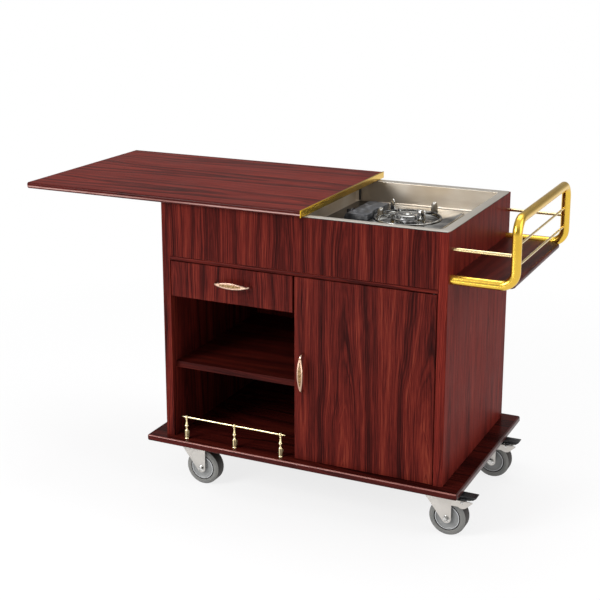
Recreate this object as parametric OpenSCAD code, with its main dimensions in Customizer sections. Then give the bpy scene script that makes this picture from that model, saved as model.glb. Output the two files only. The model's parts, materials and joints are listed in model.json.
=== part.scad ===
/* [Cabinet] */
// Width across the two side panels
cab_w = 830; // [760:5:920]
// Depth from the front edges to the back face
cab_d = 540; // [500:5:620]
// Height from the base board to the steel rim
carcass_h = 683; // [640:1:740]
// Thickness of the side panels
side_t = 25; // [20:1:28]
// Rounding of the side panels' outer front edges
side_round = 3; // [2:0.5:4]
// Thickness of the fascia, door, shelf and inner boards
board_t = 18; // [16:0.5:20]
// Thickness of the deck board that shows above the door
deck_t = 12; // [10:1:15]
// Height of the closed box under the worktop, from the deck to the rim
upper_box_h = 151; // [140:1:170]
// Gap round the door and the drawer front
reveal = 2; // [1.5:0.5:3]

/* [Base board] */
// Thickness of the base board
base_t = 18; // [16:1:22]
// Overhang of the base board at each end
base_end = 50; // [40:1:60]
// Overhang of the base board at the front and the back
base_side = 27; // [24:1:34]
// Corner radius of the base board
base_corner = 6; // [6:1:24]
// Rounding of the base board's edges
base_round = 5; // [3:0.5:5.5]

/* [Sliding top] */
// Thickness of the sliding top
top_t = 18; // [18:1:24]
// Overhang of the closed top at each end
top_end = 20; // [14:1:30]
// Overhang of the top at the front and the back
top_side = 21; // [14:1:24]
// Gap between the steel rim and the top
top_gap = 2; // [1.8:0.2:3]
// How far the top slides to uncover the well
top_travel = 415; // [380:1:430]
// Corner radius of the top
top_corner = 7; // [6.5:0.5:20]
// Rounding of the top's edges
top_round = 6; // [4:0.5:6]
// Thickness of the brass end strip
strip_t = 3; // [2:0.5:4]
// How far the end strip stands above and below the top
strip_lip = 1; // [0.4:0.1:1.2]
// Width of a guide channel let into the top
channel_w = 22; // [20:1:26]
// Height of a guide channel
channel_h = 10; // [9:0.5:11]
// Wall of a guide channel
channel_wall = 1.5; // [1.2:0.1:1.8]
// Distance from the middle of the top to each guide channel
channel_y = 180; // [140:5:210]

/* [Compartments] */
// Width of the open compartments on the left
open_w = 380; // [340:5:420]
// Height of the drawer front
drawer_front_h = 100; // [90:1:120]
// Height of the shelf's upper face above the base board
shelf_h = 220; // [180:5:260]
// Gap between the drawer front and the door
front_gap = 5; // [4:0.5:8]

/* [Drawer] */
// How far the drawer opens
drawer_travel = 350; // [300:5:360]
// Length of the drawer box that stays in the cabinet when it is open
drawer_kept_l = 90; // [70:5:100]
// Height of the drawer sides
drawer_h = 72; // [60:1:76]
// Thickness of the drawer sides and back
drawer_side_t = 12; // [10:1:15]
// Thickness of the drawer bottom
drawer_bottom_t = 5; // [4:1:6]
// Width of the space that one runner fills
runner_w = 12.7; // [12.5:0.1:13.5]
// Height of a runner
runner_h = 35; // [32:1:40]

/* [Door] */
// Distance from the door's edge to its pivot pins
pivot_edge = 9; // [9:0.5:11]
// Distance from the door's face to its pivot pins
pivot_face = 7; // [6:0.5:7]
// Diameter of the pivot pins
pivot_d = 6; // [5:0.5:7]
// Rounding of the door's front edges
door_round = 3; // [2.5:0.5:4]

/* [Pulls] */
// Length of a bow pull
pull_l = 110; // [96:2:128]
// Width of a bow pull at its middle
pull_w = 17; // [14:1:22]
// How far a bow pull stands out
pull_out = 24; // [21:1:28]
// Thickness of the bow
pull_t = 4; // [3:0.5:5]
// Radius of the bends at the bow's ends
pull_bend = 18; // [12:1:20]
// Height of the door pull's middle above the base board
door_pull_h = 255; // [200:5:330]

/* [Gallery rail] */
// Half the distance between the outer gallery posts
post_pitch = 148; // [130:1:160]
// How far the middle post stands to the right of the middle
post_shift = 5; // [0:1:10]
// Distance from the left side panel to the first post
post_start = 44; // [40:1:60]
// Height of the rail's centre above the base board
gallery_h = 65; // [62:1:80]
// Diameter of the gallery rail
gallery_d = 5; // [4:0.5:6]

/* [Steel well] */
// Depth of the well below its rim
well_depth = 64; // [60:1:90]
// Thickness of the steel sheet
steel_t = 1.2; // [1:0.1:1.5]
// Width of the rim at the front, the back and the right
rim_w = 27; // [26:1:34]
// How far the well runs in under the open top
well_under = 60; // [40:5:80]

/* [Burner] */
// Width of the burner's base plate
stove_w = 240; // [220:5:260]
// Depth of the burner's base plate
stove_d = 300; // [260:5:330]
// Height of the burner's base plate
stove_h = 22; // [18:1:26]
// Distance from the right side panel to the burner's centre
stove_in = 185; // [178:1:190]
// Outer radius of the pan support's ring
support_r = 94; // [88:1:100]
// Gap between the tips of the pan support's fins and the level of the rim
fin_clear = 4; // [2:1:8]
// Radius of the burner head
burner_r = 36; // [30:1:40]

/* [Push handle] */
// Diameter of the push handle's tube
tube_d = 25; // [22:1:28]
// Wall of the push handle's tube
tube_wall = 1.2; // [1:0.1:2]
// Bend radius of the tube's centre line
bend_r = 38; // [34:1:46]
// Distance from the side panel to the upright tubes
handle_reach = 165; // [140:5:190]
// Distance from the cabinet's middle to the tube's legs
handle_y = 245; // [225:1:250]
// Height of the tube's legs above the base board
handle_low = 556; // [540:1:570]
// Height of the cross bar above the base board
handle_high = 724; // [715:1:740]
// Diameter of the two side rods
side_rod_d = 9; // [8:0.5:10]
// Diameter of the two end rods
end_rod_d = 6; // [5:0.5:8]
// Thickness of the side shelf
side_shelf_t = 15; // [12:1:18]

/* [Castors] */
// Height from the floor to the base board
castor_h = 128; // [126:1:134]
// Diameter of a wheel
wheel_d = 102; // [96:1:104]
// Width of a wheel over its hub's faces
wheel_w = 40; // [34:1:42]
// Distance from the swivel axis to the axle
trail = 38; // [35:1:40]
// Distance from the base board's left end to the swivel axis
inset_left = 112; // [90:1:120]
// Distance from the base board's right end to the swivel axis
inset_right = 80; // [70:1:100]
// Distance from the base board's front to the swivel axis
inset_front = 73; // [50:1:80]
// Distance from the base board's back to the swivel axis
inset_back = 120; // [90:1:150]

/* [Hidden] */
$fn = 64;

// Small clearances
seat_gap = 0.3;
run_gap = 0.05;
socket_gap = 0.1;
eps = 0.01;

// Heights from the floor
base_z = castor_h + base_t;
rim_z = base_z + carcass_h;
board_top = rim_z - steel_t;
deck_z = rim_z - upper_box_h;
deck_under = deck_z - deck_t;
top_z = rim_z + top_gap;

// Places across the cabinet
half_w = cab_w / 2;
half_d = cab_d / 2;
in_x = half_w - side_t;
stove_x = in_x - stove_in;
front_in = -half_d + board_t;
back_in = half_d - board_t;
part_x0 = -in_x + open_w;
part_x1 = part_x0 + board_t;
front_relief = 1;
part_front = front_in + front_relief;
deck_round = deck_t / 2;
deck_proud = 2;

// The top lies open at rest, with its end strip over the well's left side
top_l = cab_w + 2 * top_end;
top_x1 = half_w + top_end - top_travel;
top_x0 = top_x1 - top_l;
top_half_d = half_d + top_side;

// The origin is on the floor under the middle of the whole object's box
handle_x = half_w + handle_reach;
box_mid_x = (top_x0 + handle_x + tube_d / 2) / 2;

wood = [0.36, 0.10, 0.08];
dark_wood = [0.24, 0.07, 0.06];
brass = [0.88, 0.66, 0.20];
pale_brass = [0.90, 0.80, 0.52];
steel = [0.70, 0.69, 0.66];
zinc = [0.82, 0.82, 0.79];
grey_rubber = [0.42, 0.43, 0.42];
grey_plastic = [0.52, 0.53, 0.53];
black = [0.08, 0.08, 0.09];

// Puts a piece drawn from the cabinet's middle into the object's own frame
module placed() {
    translate([-box_mid_x, 0, 0]) children();
}

// Draws a piece and its mirror image across the cabinet's depth
module both_sides() {
    children();
    mirror([0, 1, 0]) children();
}

// Flat shapes

// Rectangle with round corners, given by its limits
module round_rect(x0, x1, y0, y1, r) {
    translate([x0 + r, y0]) square([x1 - x0 - 2 * r, y1 - y0]);
    translate([x0, y0 + r]) square([x1 - x0, y1 - y0 - 2 * r]);
    for (x = [x0 + r, x1 - r], y = [y0 + r, y1 - r]) translate([x, y]) circle(r);
}

// Half disc that bulges towards +X
module half_disc(r) {
    intersection() {
        circle(r);
        translate([0, -r]) square([r, 2 * r]);
    }
}

// Pointed leaf along X, from two crossing arcs
module leaf(half_l, half_w2) {
    r = (half_l * half_l + half_w2 * half_w2) / (2 * half_w2);
    intersection() {
        translate([0, r - half_w2]) circle(r, $fn = 180);
        translate([0, half_w2 - r]) circle(r, $fn = 180);
    }
}

// Block given by its limits
module block(x0, x1, y0, y1, z0, z1) {
    translate([x0, y0, z0]) cube([x1 - x0, y1 - y0, z1 - z0]);
}

// Outline in X and Z, drawn along +Y from y0 to y1
module along_y(y0, y1) {
    translate([0, y1, 0]) rotate([90, 0, 0]) linear_extrude(y1 - y0) children();
}

// Outline in Y and Z, drawn along +X from x0 to x1
module along_x(x0, x1) {
    translate([x0, 0, 0]) rotate([90, 0, 90]) linear_extrude(x1 - x0) children();
}

// Section of a board's edge that bulges towards +X, rounded above and below
module edge_section(r, t) {
    translate([0, r]) square([r, t - 2 * r]);
    translate([0, r]) half_disc(r);
    translate([0, t - r]) half_disc(r);
}

// Board lying flat, with rounded edges all round and round corners
module rounded_board(x0, x1, y0, y1, z0, t, corner, r) {
    translate([0, 0, z0]) {
        linear_extrude(t) round_rect(x0 + r, x1 - r, y0 + r, y1 - r, corner - r);
        for (side = [0, 1]) {
            along_y(y0 + corner, y1 - corner)
                translate([side ? x1 - r : x0 + r, 0]) mirror([1 - side, 0]) edge_section(r, t);
            along_x(x0 + corner, x1 - corner)
                translate([side ? y1 - r : y0 + r, 0]) mirror([1 - side, 0]) edge_section(r, t);
        }
        board_corner(x0 + corner, y0 + corner, 180, corner - r, r, t);
        board_corner(x1 - corner, y0 + corner, 270, corner - r, r, t);
        board_corner(x1 - corner, y1 - corner, 0, corner - r, r, t);
        board_corner(x0 + corner, y1 - corner, 90, corner - r, r, t);
    }
}

// Quarter turn of the rounded edge
module board_corner(x, y, turn, ring_r, r, t) {
    translate([x, y, 0]) rotate([0, 0, turn])
        rotate_extrude(angle = 90) translate([ring_r, 0]) edge_section(r, t);
}

// Carcass boards

module base_plate() {
    color(wood) difference() {
        rounded_board(-half_w - base_end, half_w + base_end,
            -half_d - base_side, half_d + base_side, castor_h, base_t, base_corner, base_round);
        translate([pivot_x, pivot_y, base_z - bush_h]) cylinder(h = bush_h + eps, r = bush_r);
    }
}

// Right side panel seen from above
module side_section() {
    r = side_round;
    translate([in_x, -half_d + r]) square([side_t, cab_d - r]);
    translate([in_x, -half_d]) square([side_t - r, cab_d]);
    translate([half_w - r, -half_d + r]) circle(r);
}

module left_side_panel() {
    color(wood) translate([0, 0, base_z]) linear_extrude(board_top - base_z)
        mirror([1, 0]) side_section();
}

socket_deep = 12;

module right_side_panel() {
    color(wood) difference() {
        translate([0, 0, base_z]) linear_extrude(board_top - base_z) side_section();
        both_sides() translate([half_w - socket_deep, handle_y, tube_z])
            rotate([0, 90, 0]) cylinder(h = socket_deep + eps, d = tube_d + 2 * socket_gap);
        both_sides() translate([half_w - socket_deep, handle_y, rod_z])
            rotate([0, 90, 0]) cylinder(h = socket_deep + eps, d = side_rod_d + 2 * socket_gap);
    }
}

module back_panel() {
    color(wood) block(-in_x, in_x, back_in, half_d, base_z, board_top);
}

module front_fascia() {
    color(wood) block(-in_x, in_x, -half_d, front_in, deck_z, board_top);
}

// The deck's front edge is rounded and stands a little proud
hose_r = 12;
hose_in = 35;
hose_out = 65;
hose_x = stove_x - stove_w / 2 + hose_in;
hose_y = -stove_d / 2 - hose_out;

module deck_board() {
    color(wood) difference() {
        union() {
            block(-in_x, in_x, -half_d - deck_proud + deck_round, back_in, deck_under, deck_z);
            translate([0, 0, deck_under + deck_round]) along_x(-in_x, in_x)
                translate([-half_d - deck_proud + deck_round, 0]) mirror([1, 0]) half_disc(deck_round);
        }
        translate([pivot_x, pivot_y, deck_under - eps]) cylinder(h = bush_h + eps, r = bush_r);
        translate([hose_x, hose_y, deck_under - eps]) cylinder(h = deck_t + 2 * eps, r = hose_r);
    }
}

module middle_partition() {
    color(dark_wood) block(part_x0, part_x1, part_front, back_in, base_z, deck_under);
}

shelf_back = 21;

module compartment_shelf() {
    color(wood)
        block(-in_x, part_x0, -half_d + shelf_back, back_in, base_z + shelf_h - board_t, base_z + shelf_h);
}

// Upright board under the well's left rim
well_gap = 2;
well_x0 = top_x1 - well_under;
well_x1 = in_x - well_gap;
well_half_d = half_d - rim_w;
support_x1 = well_x0 - well_gap;
support_x0 = support_x1 - board_t;

module left_top_board() {
    color(dark_wood) block(-in_x, support_x0, front_in, back_in, board_top - board_t, board_top);
}

module well_support_board() {
    color(dark_wood) block(support_x0, support_x1, front_in, back_in, deck_z, board_top);
}

// Steel well

well_floor = rim_z - well_depth;
well_corner = 6;
rim_corner = 4;

module stainless_well() {
    color(steel) difference() {
        union() {
            translate([0, 0, board_top]) linear_extrude(steel_t)
                round_rect(support_x0, half_w, -half_d, half_d, rim_corner);
            translate([0, 0, well_floor - steel_t]) linear_extrude(board_top - well_floor + steel_t)
                round_rect(well_x0 - steel_t, well_x1 + steel_t,
                    -well_half_d - steel_t, well_half_d + steel_t, well_corner + steel_t);
        }
        translate([0, 0, well_floor]) linear_extrude(well_depth + eps)
            round_rect(well_x0, well_x1, -well_half_d, well_half_d, well_corner);
        translate([hose_x, hose_y, well_floor - 2 * steel_t])
            cylinder(h = 3 * steel_t, r = hose_r - steel_t);
    }
}

// Sliding top

slide_gap = 0.4;
head_side = 1.5;
slot_w = channel_w / 2 - 1;
stem_side = 1;
stem_w = slot_w - 2 * stem_side;
channel_in = channel_w - 2 * channel_wall;
channel_end = 30;
channel_x0 = top_x0 + channel_end;
channel_x1 = top_x1 - channel_end;
rail_end = 5;
rail_x0 = -in_x + rail_end;
rail_x1 = support_x0 - rail_end;

// Guide channel in section, open below
module channel_outline() {
    difference() {
        translate([-channel_w / 2, 0]) square([channel_w, channel_h]);
        translate([-channel_in / 2, channel_wall]) square([channel_in, channel_h - 2 * channel_wall]);
        translate([-slot_w / 2, -eps]) square([slot_w, channel_wall + 2 * eps]);
    }
}

// Guide rail in section: a stem with a wide head that runs in the channel
module rail_outline() {
    head_w = channel_in - 2 * head_side;
    head_z0 = top_z - board_top + channel_wall + slide_gap;
    head_z1 = top_z - board_top + channel_h - channel_wall - seat_gap;
    translate([-stem_w / 2, 0]) square([stem_w, head_z1 - eps]);
    translate([-head_w / 2, head_z0]) square([head_w, head_z1 - head_z0]);
}

module top_guide_rails() {
    color(steel) both_sides() translate([0, channel_y, board_top])
        along_x(rail_x0, rail_x1) rail_outline();
}

module top_channels() {
    color(steel) both_sides() translate([0, channel_y, top_z])
        along_x(channel_x0, channel_x1) channel_outline();
}

module top_board() {
    color(wood) difference() {
        rounded_board(top_x0, top_x1 + top_corner, -top_half_d, top_half_d, top_z, top_t,
            top_corner, top_round);
        block(top_x1 - strip_t, top_x1 + 2 * top_corner, -cab_d, cab_d, top_z - 1, top_z + top_t + 1);
        both_sides() block(channel_x0, channel_x1, channel_y - channel_w / 2, channel_y + channel_w / 2,
            top_z - eps, top_z + channel_h);
    }
}

module top_end_strip() {
    color(brass) translate([0, 0, top_z - strip_lip]) linear_extrude(top_t + 2 * strip_lip)
        intersection() {
            round_rect(top_x1 - 4 * strip_t, top_x1, -top_half_d, top_half_d, strip_t);
            translate([top_x1 - strip_t, -top_half_d]) square([strip_t, 2 * top_half_d]);
        }
}

// Door

door_x0 = part_x0;
door_x1 = in_x - reveal;
door_z0 = base_z + reveal;
door_z1 = deck_under - reveal;
pivot_x = door_x1 - pivot_edge;
pivot_y = -half_d + pivot_face;
pivot_r = pivot_d / 2;
bush_wall = 2;
bush_r = pivot_r + bush_wall;
bush_h = 8;
pin_in = 16;
pin_tip_gap = 1;

module door_panel() {
    color(wood) difference() {
        translate([0, 0, door_z0]) linear_extrude(door_z1 - door_z0) {
            translate([door_x0, -half_d + door_round]) square([door_x1 - door_x0, board_t - door_round]);
            translate([door_x0 + door_round, -half_d])
                square([door_x1 - door_x0 - 2 * door_round, board_t]);
            for (x = [door_x0 + door_round, door_x1 - door_round])
                translate([x, -half_d + door_round]) circle(door_round);
        }
        for (z = [door_z0 - eps, door_z1 - pin_in + eps])
            translate([pivot_x, pivot_y, z]) cylinder(h = pin_in, r = pivot_r);
    }
}

// A pin in the top edge and one in the bottom edge, each with a thrust collar
module door_pivot_pins() {
    pin_l = pin_in + reveal + bush_h - pin_tip_gap;
    collar_t = reveal - seat_gap;
    collar_r = bush_r - bush_wall / 4;
    color(zinc) {
        translate([pivot_x, pivot_y, door_z0 + pin_in - pin_l]) cylinder(h = pin_l, r = pivot_r);
        translate([pivot_x, pivot_y, door_z0 - collar_t]) cylinder(h = collar_t, r = collar_r);
        translate([pivot_x, pivot_y, door_z1 - pin_in]) cylinder(h = pin_l, r = pivot_r);
        translate([pivot_x, pivot_y, door_z1]) cylinder(h = collar_t, r = collar_r);
    }
}

module bush() {
    difference() {
        cylinder(h = bush_h, r = bush_r);
        translate([0, 0, -eps]) cylinder(h = bush_h + 2 * eps, r = pivot_r + run_gap);
    }
}

module door_pivot_bushes() {
    color(pale_brass) {
        translate([pivot_x, pivot_y, base_z - bush_h]) bush();
        translate([pivot_x, pivot_y, deck_under]) bush();
    }
}

catch_w = 14;
catch_h = 42;
catch_l = 32;
catch_rise = 120;
catch_z = (door_z0 + door_z1) / 2 + catch_rise;
pole_t = 2;
pole_out = 1;
pole_in = 3;
pole_end = 5;
strike_t = 1.5;
strike_in = 1;

// Magnetic catch on the partition, with two pole plates towards the door
module door_catch() {
    face = front_in + strike_t + seat_gap;
    color(grey_plastic) {
        block(part_x1, part_x1 + catch_w, face + pole_out, face + catch_l, catch_z, catch_z + catch_h);
        for (x = [part_x1 + pole_in, part_x1 + catch_w - pole_in - pole_t])
            block(x, x + pole_t, face, face + pole_out, catch_z + pole_end, catch_z + catch_h - pole_end);
    }
}

module door_strike() {
    color(zinc) block(part_x1 + strike_in, part_x1 + catch_w, front_in, front_in + strike_t,
        catch_z + strike_in, catch_z + catch_h - strike_in);
}

// Bow pulls, drawn along X with the door's face at y = 0 and the bow towards -Y

bow_r = 300;
leaf_over = 2;
tail_w = 5;
inlay_in = 1.2;
inlay_sunk = 0.3;
inlay_l = 66;
inlay_side = 4;
inlay_blunt = 7;
dimple_out = 7;
dimple_r = 1.3;
door_pull_in = 27;
drawer_pull_right = 10;
drawer_pull_down = 44;

// Side view of the bow's outer shape, drawn in by d: a flat arc with a round bend at each end
module bow_outline(d) {
    intersection() {
        round_rect(-pull_l / 2 + d, pull_l / 2 - d, d - pull_out, 2 * pull_bend, pull_bend - d);
        translate([0, bow_r - pull_out]) circle(bow_r - d, $fn = 360);
        translate([-pull_l, -pull_l]) square([2 * pull_l, pull_l]);
    }
}

// What lies between two depths under the bow's outer face, over the pull's full width
module bow_layer(d0, d1) {
    translate([0, 0, -pull_w]) linear_extrude(2 * pull_w) difference() {
        bow_outline(d0);
        translate([0, eps]) bow_outline(d1);
    }
}

// Leaf shape seen from the front, as a block through the bow
module leaf_block(half_l, half_w2) {
    along_y(-2 * pull_out, pull_out) leaf(half_l, half_w2);
}

// The inlay's leaf is cut off blunt at both ends
module inlay_block(gap) {
    intersection() {
        leaf_block(inlay_l / 2 + inlay_blunt, pull_w / 2 - inlay_side - gap);
        block(-inlay_l / 2 + gap, inlay_l / 2 - gap, -2 * pull_out, 0, -pull_w, pull_w);
    }
}

module pull_bow() {
    difference() {
        intersection() {
            bow_layer(0, pull_t);
            union() {
                leaf_block(pull_l / 2 + leaf_over, pull_w / 2);
                block(-pull_l, pull_l, -2 * pull_out, pull_out, -tail_w / 2, tail_w / 2);
            }
        }
        intersection() {
            bow_layer(-1, inlay_in);
            inlay_block(0);
        }
        for (side = [-1, 1]) translate([side * (inlay_l / 2 + dimple_out), inlay_in - pull_out, 0])
            rotate([90, 0, 0]) cylinder(h = pull_out, r = dimple_r);
    }
}

module pull_inlay() {
    intersection() {
        bow_layer(inlay_sunk, inlay_in);
        inlay_block(socket_gap);
    }
}

// Puts a pull on the door, upright near its free edge
module on_door() {
    translate([door_x0 + door_pull_in, -half_d, base_z + door_pull_h]) rotate([0, 90, 0]) children();
}

// Puts a pull across the drawer front
module on_drawer() {
    translate([(drawer_x0 + drawer_x1) / 2 + drawer_pull_right, -half_d, drawer_z1 - drawer_pull_down])
        children();
}

module door_pull() {
    color(pale_brass) on_door() pull_bow();
}

module door_pull_inlay() {
    color(brass) on_door() pull_inlay();
}

module drawer_pull() {
    color(pale_brass) on_drawer() pull_bow();
}

module drawer_pull_inlay() {
    color(brass) on_drawer() pull_inlay();
}

// Drawer

drawer_x0 = -in_x + reveal;
drawer_x1 = part_x0 - front_gap;
drawer_z1 = deck_under - reveal;
drawer_z0 = drawer_z1 - drawer_front_h;
box_x0 = -in_x + runner_w;
box_x1 = part_x0 - runner_w;
box_y1 = front_in + drawer_travel + drawer_kept_l;
box_rise = 12;
box_z0 = drawer_z0 + box_rise;
box_z1 = box_z0 + drawer_h;
groove_rise = 6;
groove_z = box_z0 + groove_rise;
groove_in = 5;
back_drop = 6;

module drawer_front() {
    color(wood) difference() {
        translate([0, 0, drawer_z0]) linear_extrude(drawer_front_h) {
            translate([drawer_x0, -half_d + door_round])
                square([drawer_x1 - drawer_x0, board_t - door_round]);
            translate([drawer_x0 + door_round, -half_d])
                square([drawer_x1 - drawer_x0 - 2 * door_round, board_t]);
            for (x = [drawer_x0 + door_round, drawer_x1 - door_round])
                translate([x, -half_d + door_round]) circle(door_round);
        }
        block(box_x0 + drawer_side_t, box_x1 - drawer_side_t, front_in - groove_in, front_in + eps,
            groove_z, groove_z + drawer_bottom_t);
    }
}

// Two sides and a back, with a groove inside for the bottom
module drawer_box() {
    color(pale_brass) difference() {
        union() {
            for (x = [box_x0, box_x1 - drawer_side_t])
                block(x, x + drawer_side_t, front_in, box_y1, box_z0, box_z1);
            block(box_x0 + drawer_side_t, box_x1 - drawer_side_t,
                box_y1 - drawer_side_t, box_y1, groove_z + drawer_bottom_t, box_z1 - back_drop);
        }
        block(box_x0 + drawer_side_t - groove_in, box_x1 - drawer_side_t + groove_in,
            front_in - eps, box_y1 + eps, groove_z, groove_z + drawer_bottom_t);
    }
}

module drawer_bottom() {
    color(pale_brass) {
        block(box_x0 + drawer_side_t - groove_in, box_x1 - drawer_side_t + groove_in,
            front_in, box_y1, groove_z, groove_z + drawer_bottom_t);
        block(box_x0 + drawer_side_t, box_x1 - drawer_side_t,
            front_in - groove_in, front_in, groove_z, groove_z + drawer_bottom_t);
    }
}

// Runner sections lie in X and Z, from the carcass wall at x = 0 towards the drawer

runner_wall = 1.5;
slide_t = 1.5;
runner_deep = runner_w - slide_t - 1.2;
runner_lip = 3;
runner_z = (box_z0 + box_z1) / 2 - runner_h / 2;
runner_start = 7;
runner_end = 5;
runner_y0 = front_in + runner_start;
runner_y1 = box_y1 - runner_end;

module runner_rail_outline() {
    difference() {
        square([runner_deep, runner_h]);
        translate([runner_wall, runner_wall])
            square([runner_deep - 2 * runner_wall, runner_h - 2 * runner_wall]);
        translate([runner_wall, runner_wall + runner_lip])
            square([runner_deep, runner_h - 2 * (runner_wall + runner_lip)]);
    }
}

module runner_slide_outline() {
    head_gap = 0.7;
    head_z = runner_wall + seat_gap;
    web_z = runner_wall + runner_lip + 2;
    flange_z = runner_wall + runner_lip;
    head_x0 = runner_wall + head_gap;
    head_x1 = runner_deep - runner_wall - head_gap;
    translate([head_x0, head_z]) square([head_x1 - head_x0, runner_h - 2 * head_z]);
    translate([head_x0, web_z]) square([runner_w - head_x0, runner_h - 2 * web_z]);
    translate([runner_w - slide_t, flange_z]) square([slide_t, runner_h - 2 * flange_z]);
}

// Puts a runner section against both walls of the drawer's compartment
module on_runners(y0, y1) {
    translate([-in_x, 0, runner_z]) along_y(y0, y1) children();
    translate([part_x0, 0, runner_z]) mirror([1, 0, 0]) along_y(y0, y1) children();
}

module drawer_runner_rails() {
    color(zinc) on_runners(runner_y0, runner_y1) runner_rail_outline();
}

module drawer_runner_slides() {
    color(zinc) on_runners(runner_y0, runner_y1) runner_slide_outline();
}

// Gallery rail on the base board

post_out = 3;
post_y = -half_d - post_out;
gallery_z = base_z + gallery_h;
ball_r = 6;
rail_over = 8;
rail_tip = 7;
rail_tip_r = 0.8;
post_x0 = -half_w + side_t + post_start;
post_xs = [post_x0, post_x0 + post_pitch + post_shift, post_x0 + 2 * post_pitch];

// Turned post: foot, slotted drum, waist, bead, slim neck and a pierced ball
module turned_post() {
    foot_r = 7.5;
    foot_h = 2;
    drum_r = 6.3;
    drum_h = 28;
    waist_r = 3.6;
    waist_z = drum_h + 4;
    bead_r = 6.2;
    bead_z = drum_h + 12;
    neck_r = 2.6;
    neck_z = bead_z + 6;
    neck_top = gallery_h - ball_r + 0.8;
    slots = 6;
    slot_r = 2;
    slot_end = 3.5;
    difference() {
        union() {
            rotate_extrude() polygon([
                [0, 0], [foot_r, 0], [foot_r, foot_h], [drum_r, foot_h + 1.2],
                [drum_r, drum_h - 2.5], [drum_r - 1.2, drum_h - 0.8], [waist_r + 1, drum_h],
                [waist_r, drum_h + 1.5], [waist_r, waist_z], [bead_r - 0.6, bead_z - 2.5],
                [bead_r, bead_z - 0.5], [bead_r - 0.8, bead_z + 1.5], [neck_r + 1.6, neck_z - 1],
                [neck_r + 0.7, neck_z + 3], [neck_r, neck_top - 5], [neck_r + 0.8, neck_top - 2],
                [neck_r + 0.8, neck_top], [0, neck_top]
            ]);
            translate([0, 0, gallery_h]) sphere(ball_r);
        }
        translate([-2 * ball_r, 0, gallery_h]) rotate([0, 90, 0])
            cylinder(h = 4 * ball_r, r = gallery_d / 2 + socket_gap);
        for (i = [0:slots - 1]) rotate([0, 0, i * 360 / slots])
            translate([drum_r + slot_r / 4, 0, foot_h + slot_end])
                cylinder(h = drum_h - foot_h - 2 * slot_end, r = slot_r, $fn = 16);
    }
}

module gallery_posts() {
    color(pale_brass) for (x = post_xs) translate([x, post_y, base_z]) turned_post();
}

// The rail's ends run out to blunt points
module gallery_rail() {
    x0 = post_xs[0] - rail_over;
    x1 = post_xs[2] + rail_over;
    color(pale_brass) {
        translate([x0, post_y, gallery_z]) rotate([0, 90, 0]) cylinder(h = x1 - x0, d = gallery_d);
        translate([x1, post_y, gallery_z]) rotate([0, 90, 0])
            cylinder(h = rail_tip, r1 = gallery_d / 2, r2 = rail_tip_r);
        translate([x0, post_y, gallery_z]) rotate([0, -90, 0])
            cylinder(h = rail_tip, r1 = gallery_d / 2, r2 = rail_tip_r);
    }
}

// Push handle

tube_r = tube_d / 2;
tube_z = base_z + handle_low;
bar_z = base_z + handle_high;
side_rod_rise = 79;
rod_z = tube_z + side_rod_rise;
end_rod_rises = [50, 103];
shelf_rise = 3;
shelf_gap = 0.5;

module tube_ring() {
    difference() {
        circle(tube_r);
        circle(tube_r - tube_wall);
    }
}

module straight_tube(l) {
    linear_extrude(l) tube_ring();
}

// Quarter bend from +X towards +Y, centred at the origin
module bent_tube() {
    rotate_extrude(angle = 90) translate([bend_r, 0]) tube_ring();
}

// One leg, its lower bend, an upright and its upper bend
module handle_half() {
    leg_l = handle_reach - bend_r + socket_deep;
    translate([handle_x - bend_r, handle_y, tube_z]) rotate([0, -90, 0]) straight_tube(leg_l);
    translate([handle_x - bend_r, handle_y, tube_z + bend_r]) rotate([90, 0, 0])
        rotate([0, 0, -90]) bent_tube();
    translate([handle_x, handle_y, tube_z + bend_r]) straight_tube(bar_z - tube_z - 2 * bend_r);
    translate([handle_x, handle_y - bend_r, bar_z - bend_r]) rotate([90, 0, 90]) bent_tube();
}

module push_handle() {
    color(brass) {
        both_sides() handle_half();
        translate([handle_x, handle_y - bend_r, bar_z]) rotate([90, 0, 0])
            straight_tube(2 * (handle_y - bend_r));
    }
}

// Side rods run from the panel to the uprights, and their ends are shaped to the tube
module side_rods() {
    color(pale_brass) both_sides() difference() {
        translate([half_w - socket_deep, handle_y, rod_z]) rotate([0, 90, 0])
            cylinder(h = handle_reach + socket_deep, d = side_rod_d);
        translate([handle_x, handle_y, tube_z]) cylinder(h = bar_z - tube_z, r = tube_r + socket_gap);
    }
}

module end_rods() {
    color(pale_brass) for (rise = end_rod_rises) difference() {
        translate([handle_x, handle_y, tube_z + rise]) rotate([90, 0, 0])
            cylinder(h = 2 * handle_y, d = end_rod_d);
        both_sides() translate([handle_x, handle_y, tube_z])
            cylinder(h = bar_z - tube_z, r = tube_r + socket_gap);
    }
}

// The side shelf lies between the legs, with a round outer edge
module side_shelf() {
    r = side_shelf_t / 2;
    y = handle_y - tube_r - shelf_gap;
    x1 = handle_x - tube_r / 2;
    z0 = tube_z + shelf_rise - side_shelf_t;
    color(dark_wood) {
        block(half_w, x1 - r, -y, y, z0, z0 + side_shelf_t);
        translate([x1 - r, 0, z0 + r]) along_y(-y, y) half_disc(r);
    }
}

// Gas burner

plate_x0 = stove_x - stove_w / 2;
plate_x1 = stove_x + stove_w / 2;
plate_z = well_floor + stove_h;
plate_corner = 22;
plate_lip = 2;
plate_step = 5;
bowl_in = 8;
bowl_r = support_r - bowl_in;
bowl_deep = 7;
bowl_edge = 5;
bowl_rise = 1.5;
housing_left = 38;
housing_right = 30;
housing_rise = 15;
housing_x0 = plate_x0 - housing_left;
housing_x1 = plate_x0 + housing_right;
housing_y0 = -72;
housing_y1 = 92;
housing_z1 = plate_z + housing_rise;
fin_h = well_depth - stove_h - fin_clear;
spindle_r = 4;
spindle_l = 14;
knob_y = -8;
knob_rise = 21;
knob_z = well_floor + knob_rise;
knob_gap = 0.5;
inlet_z = well_floor + stove_h / 2;
inlet_r = 5;
inlet_deep = 11;

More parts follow.
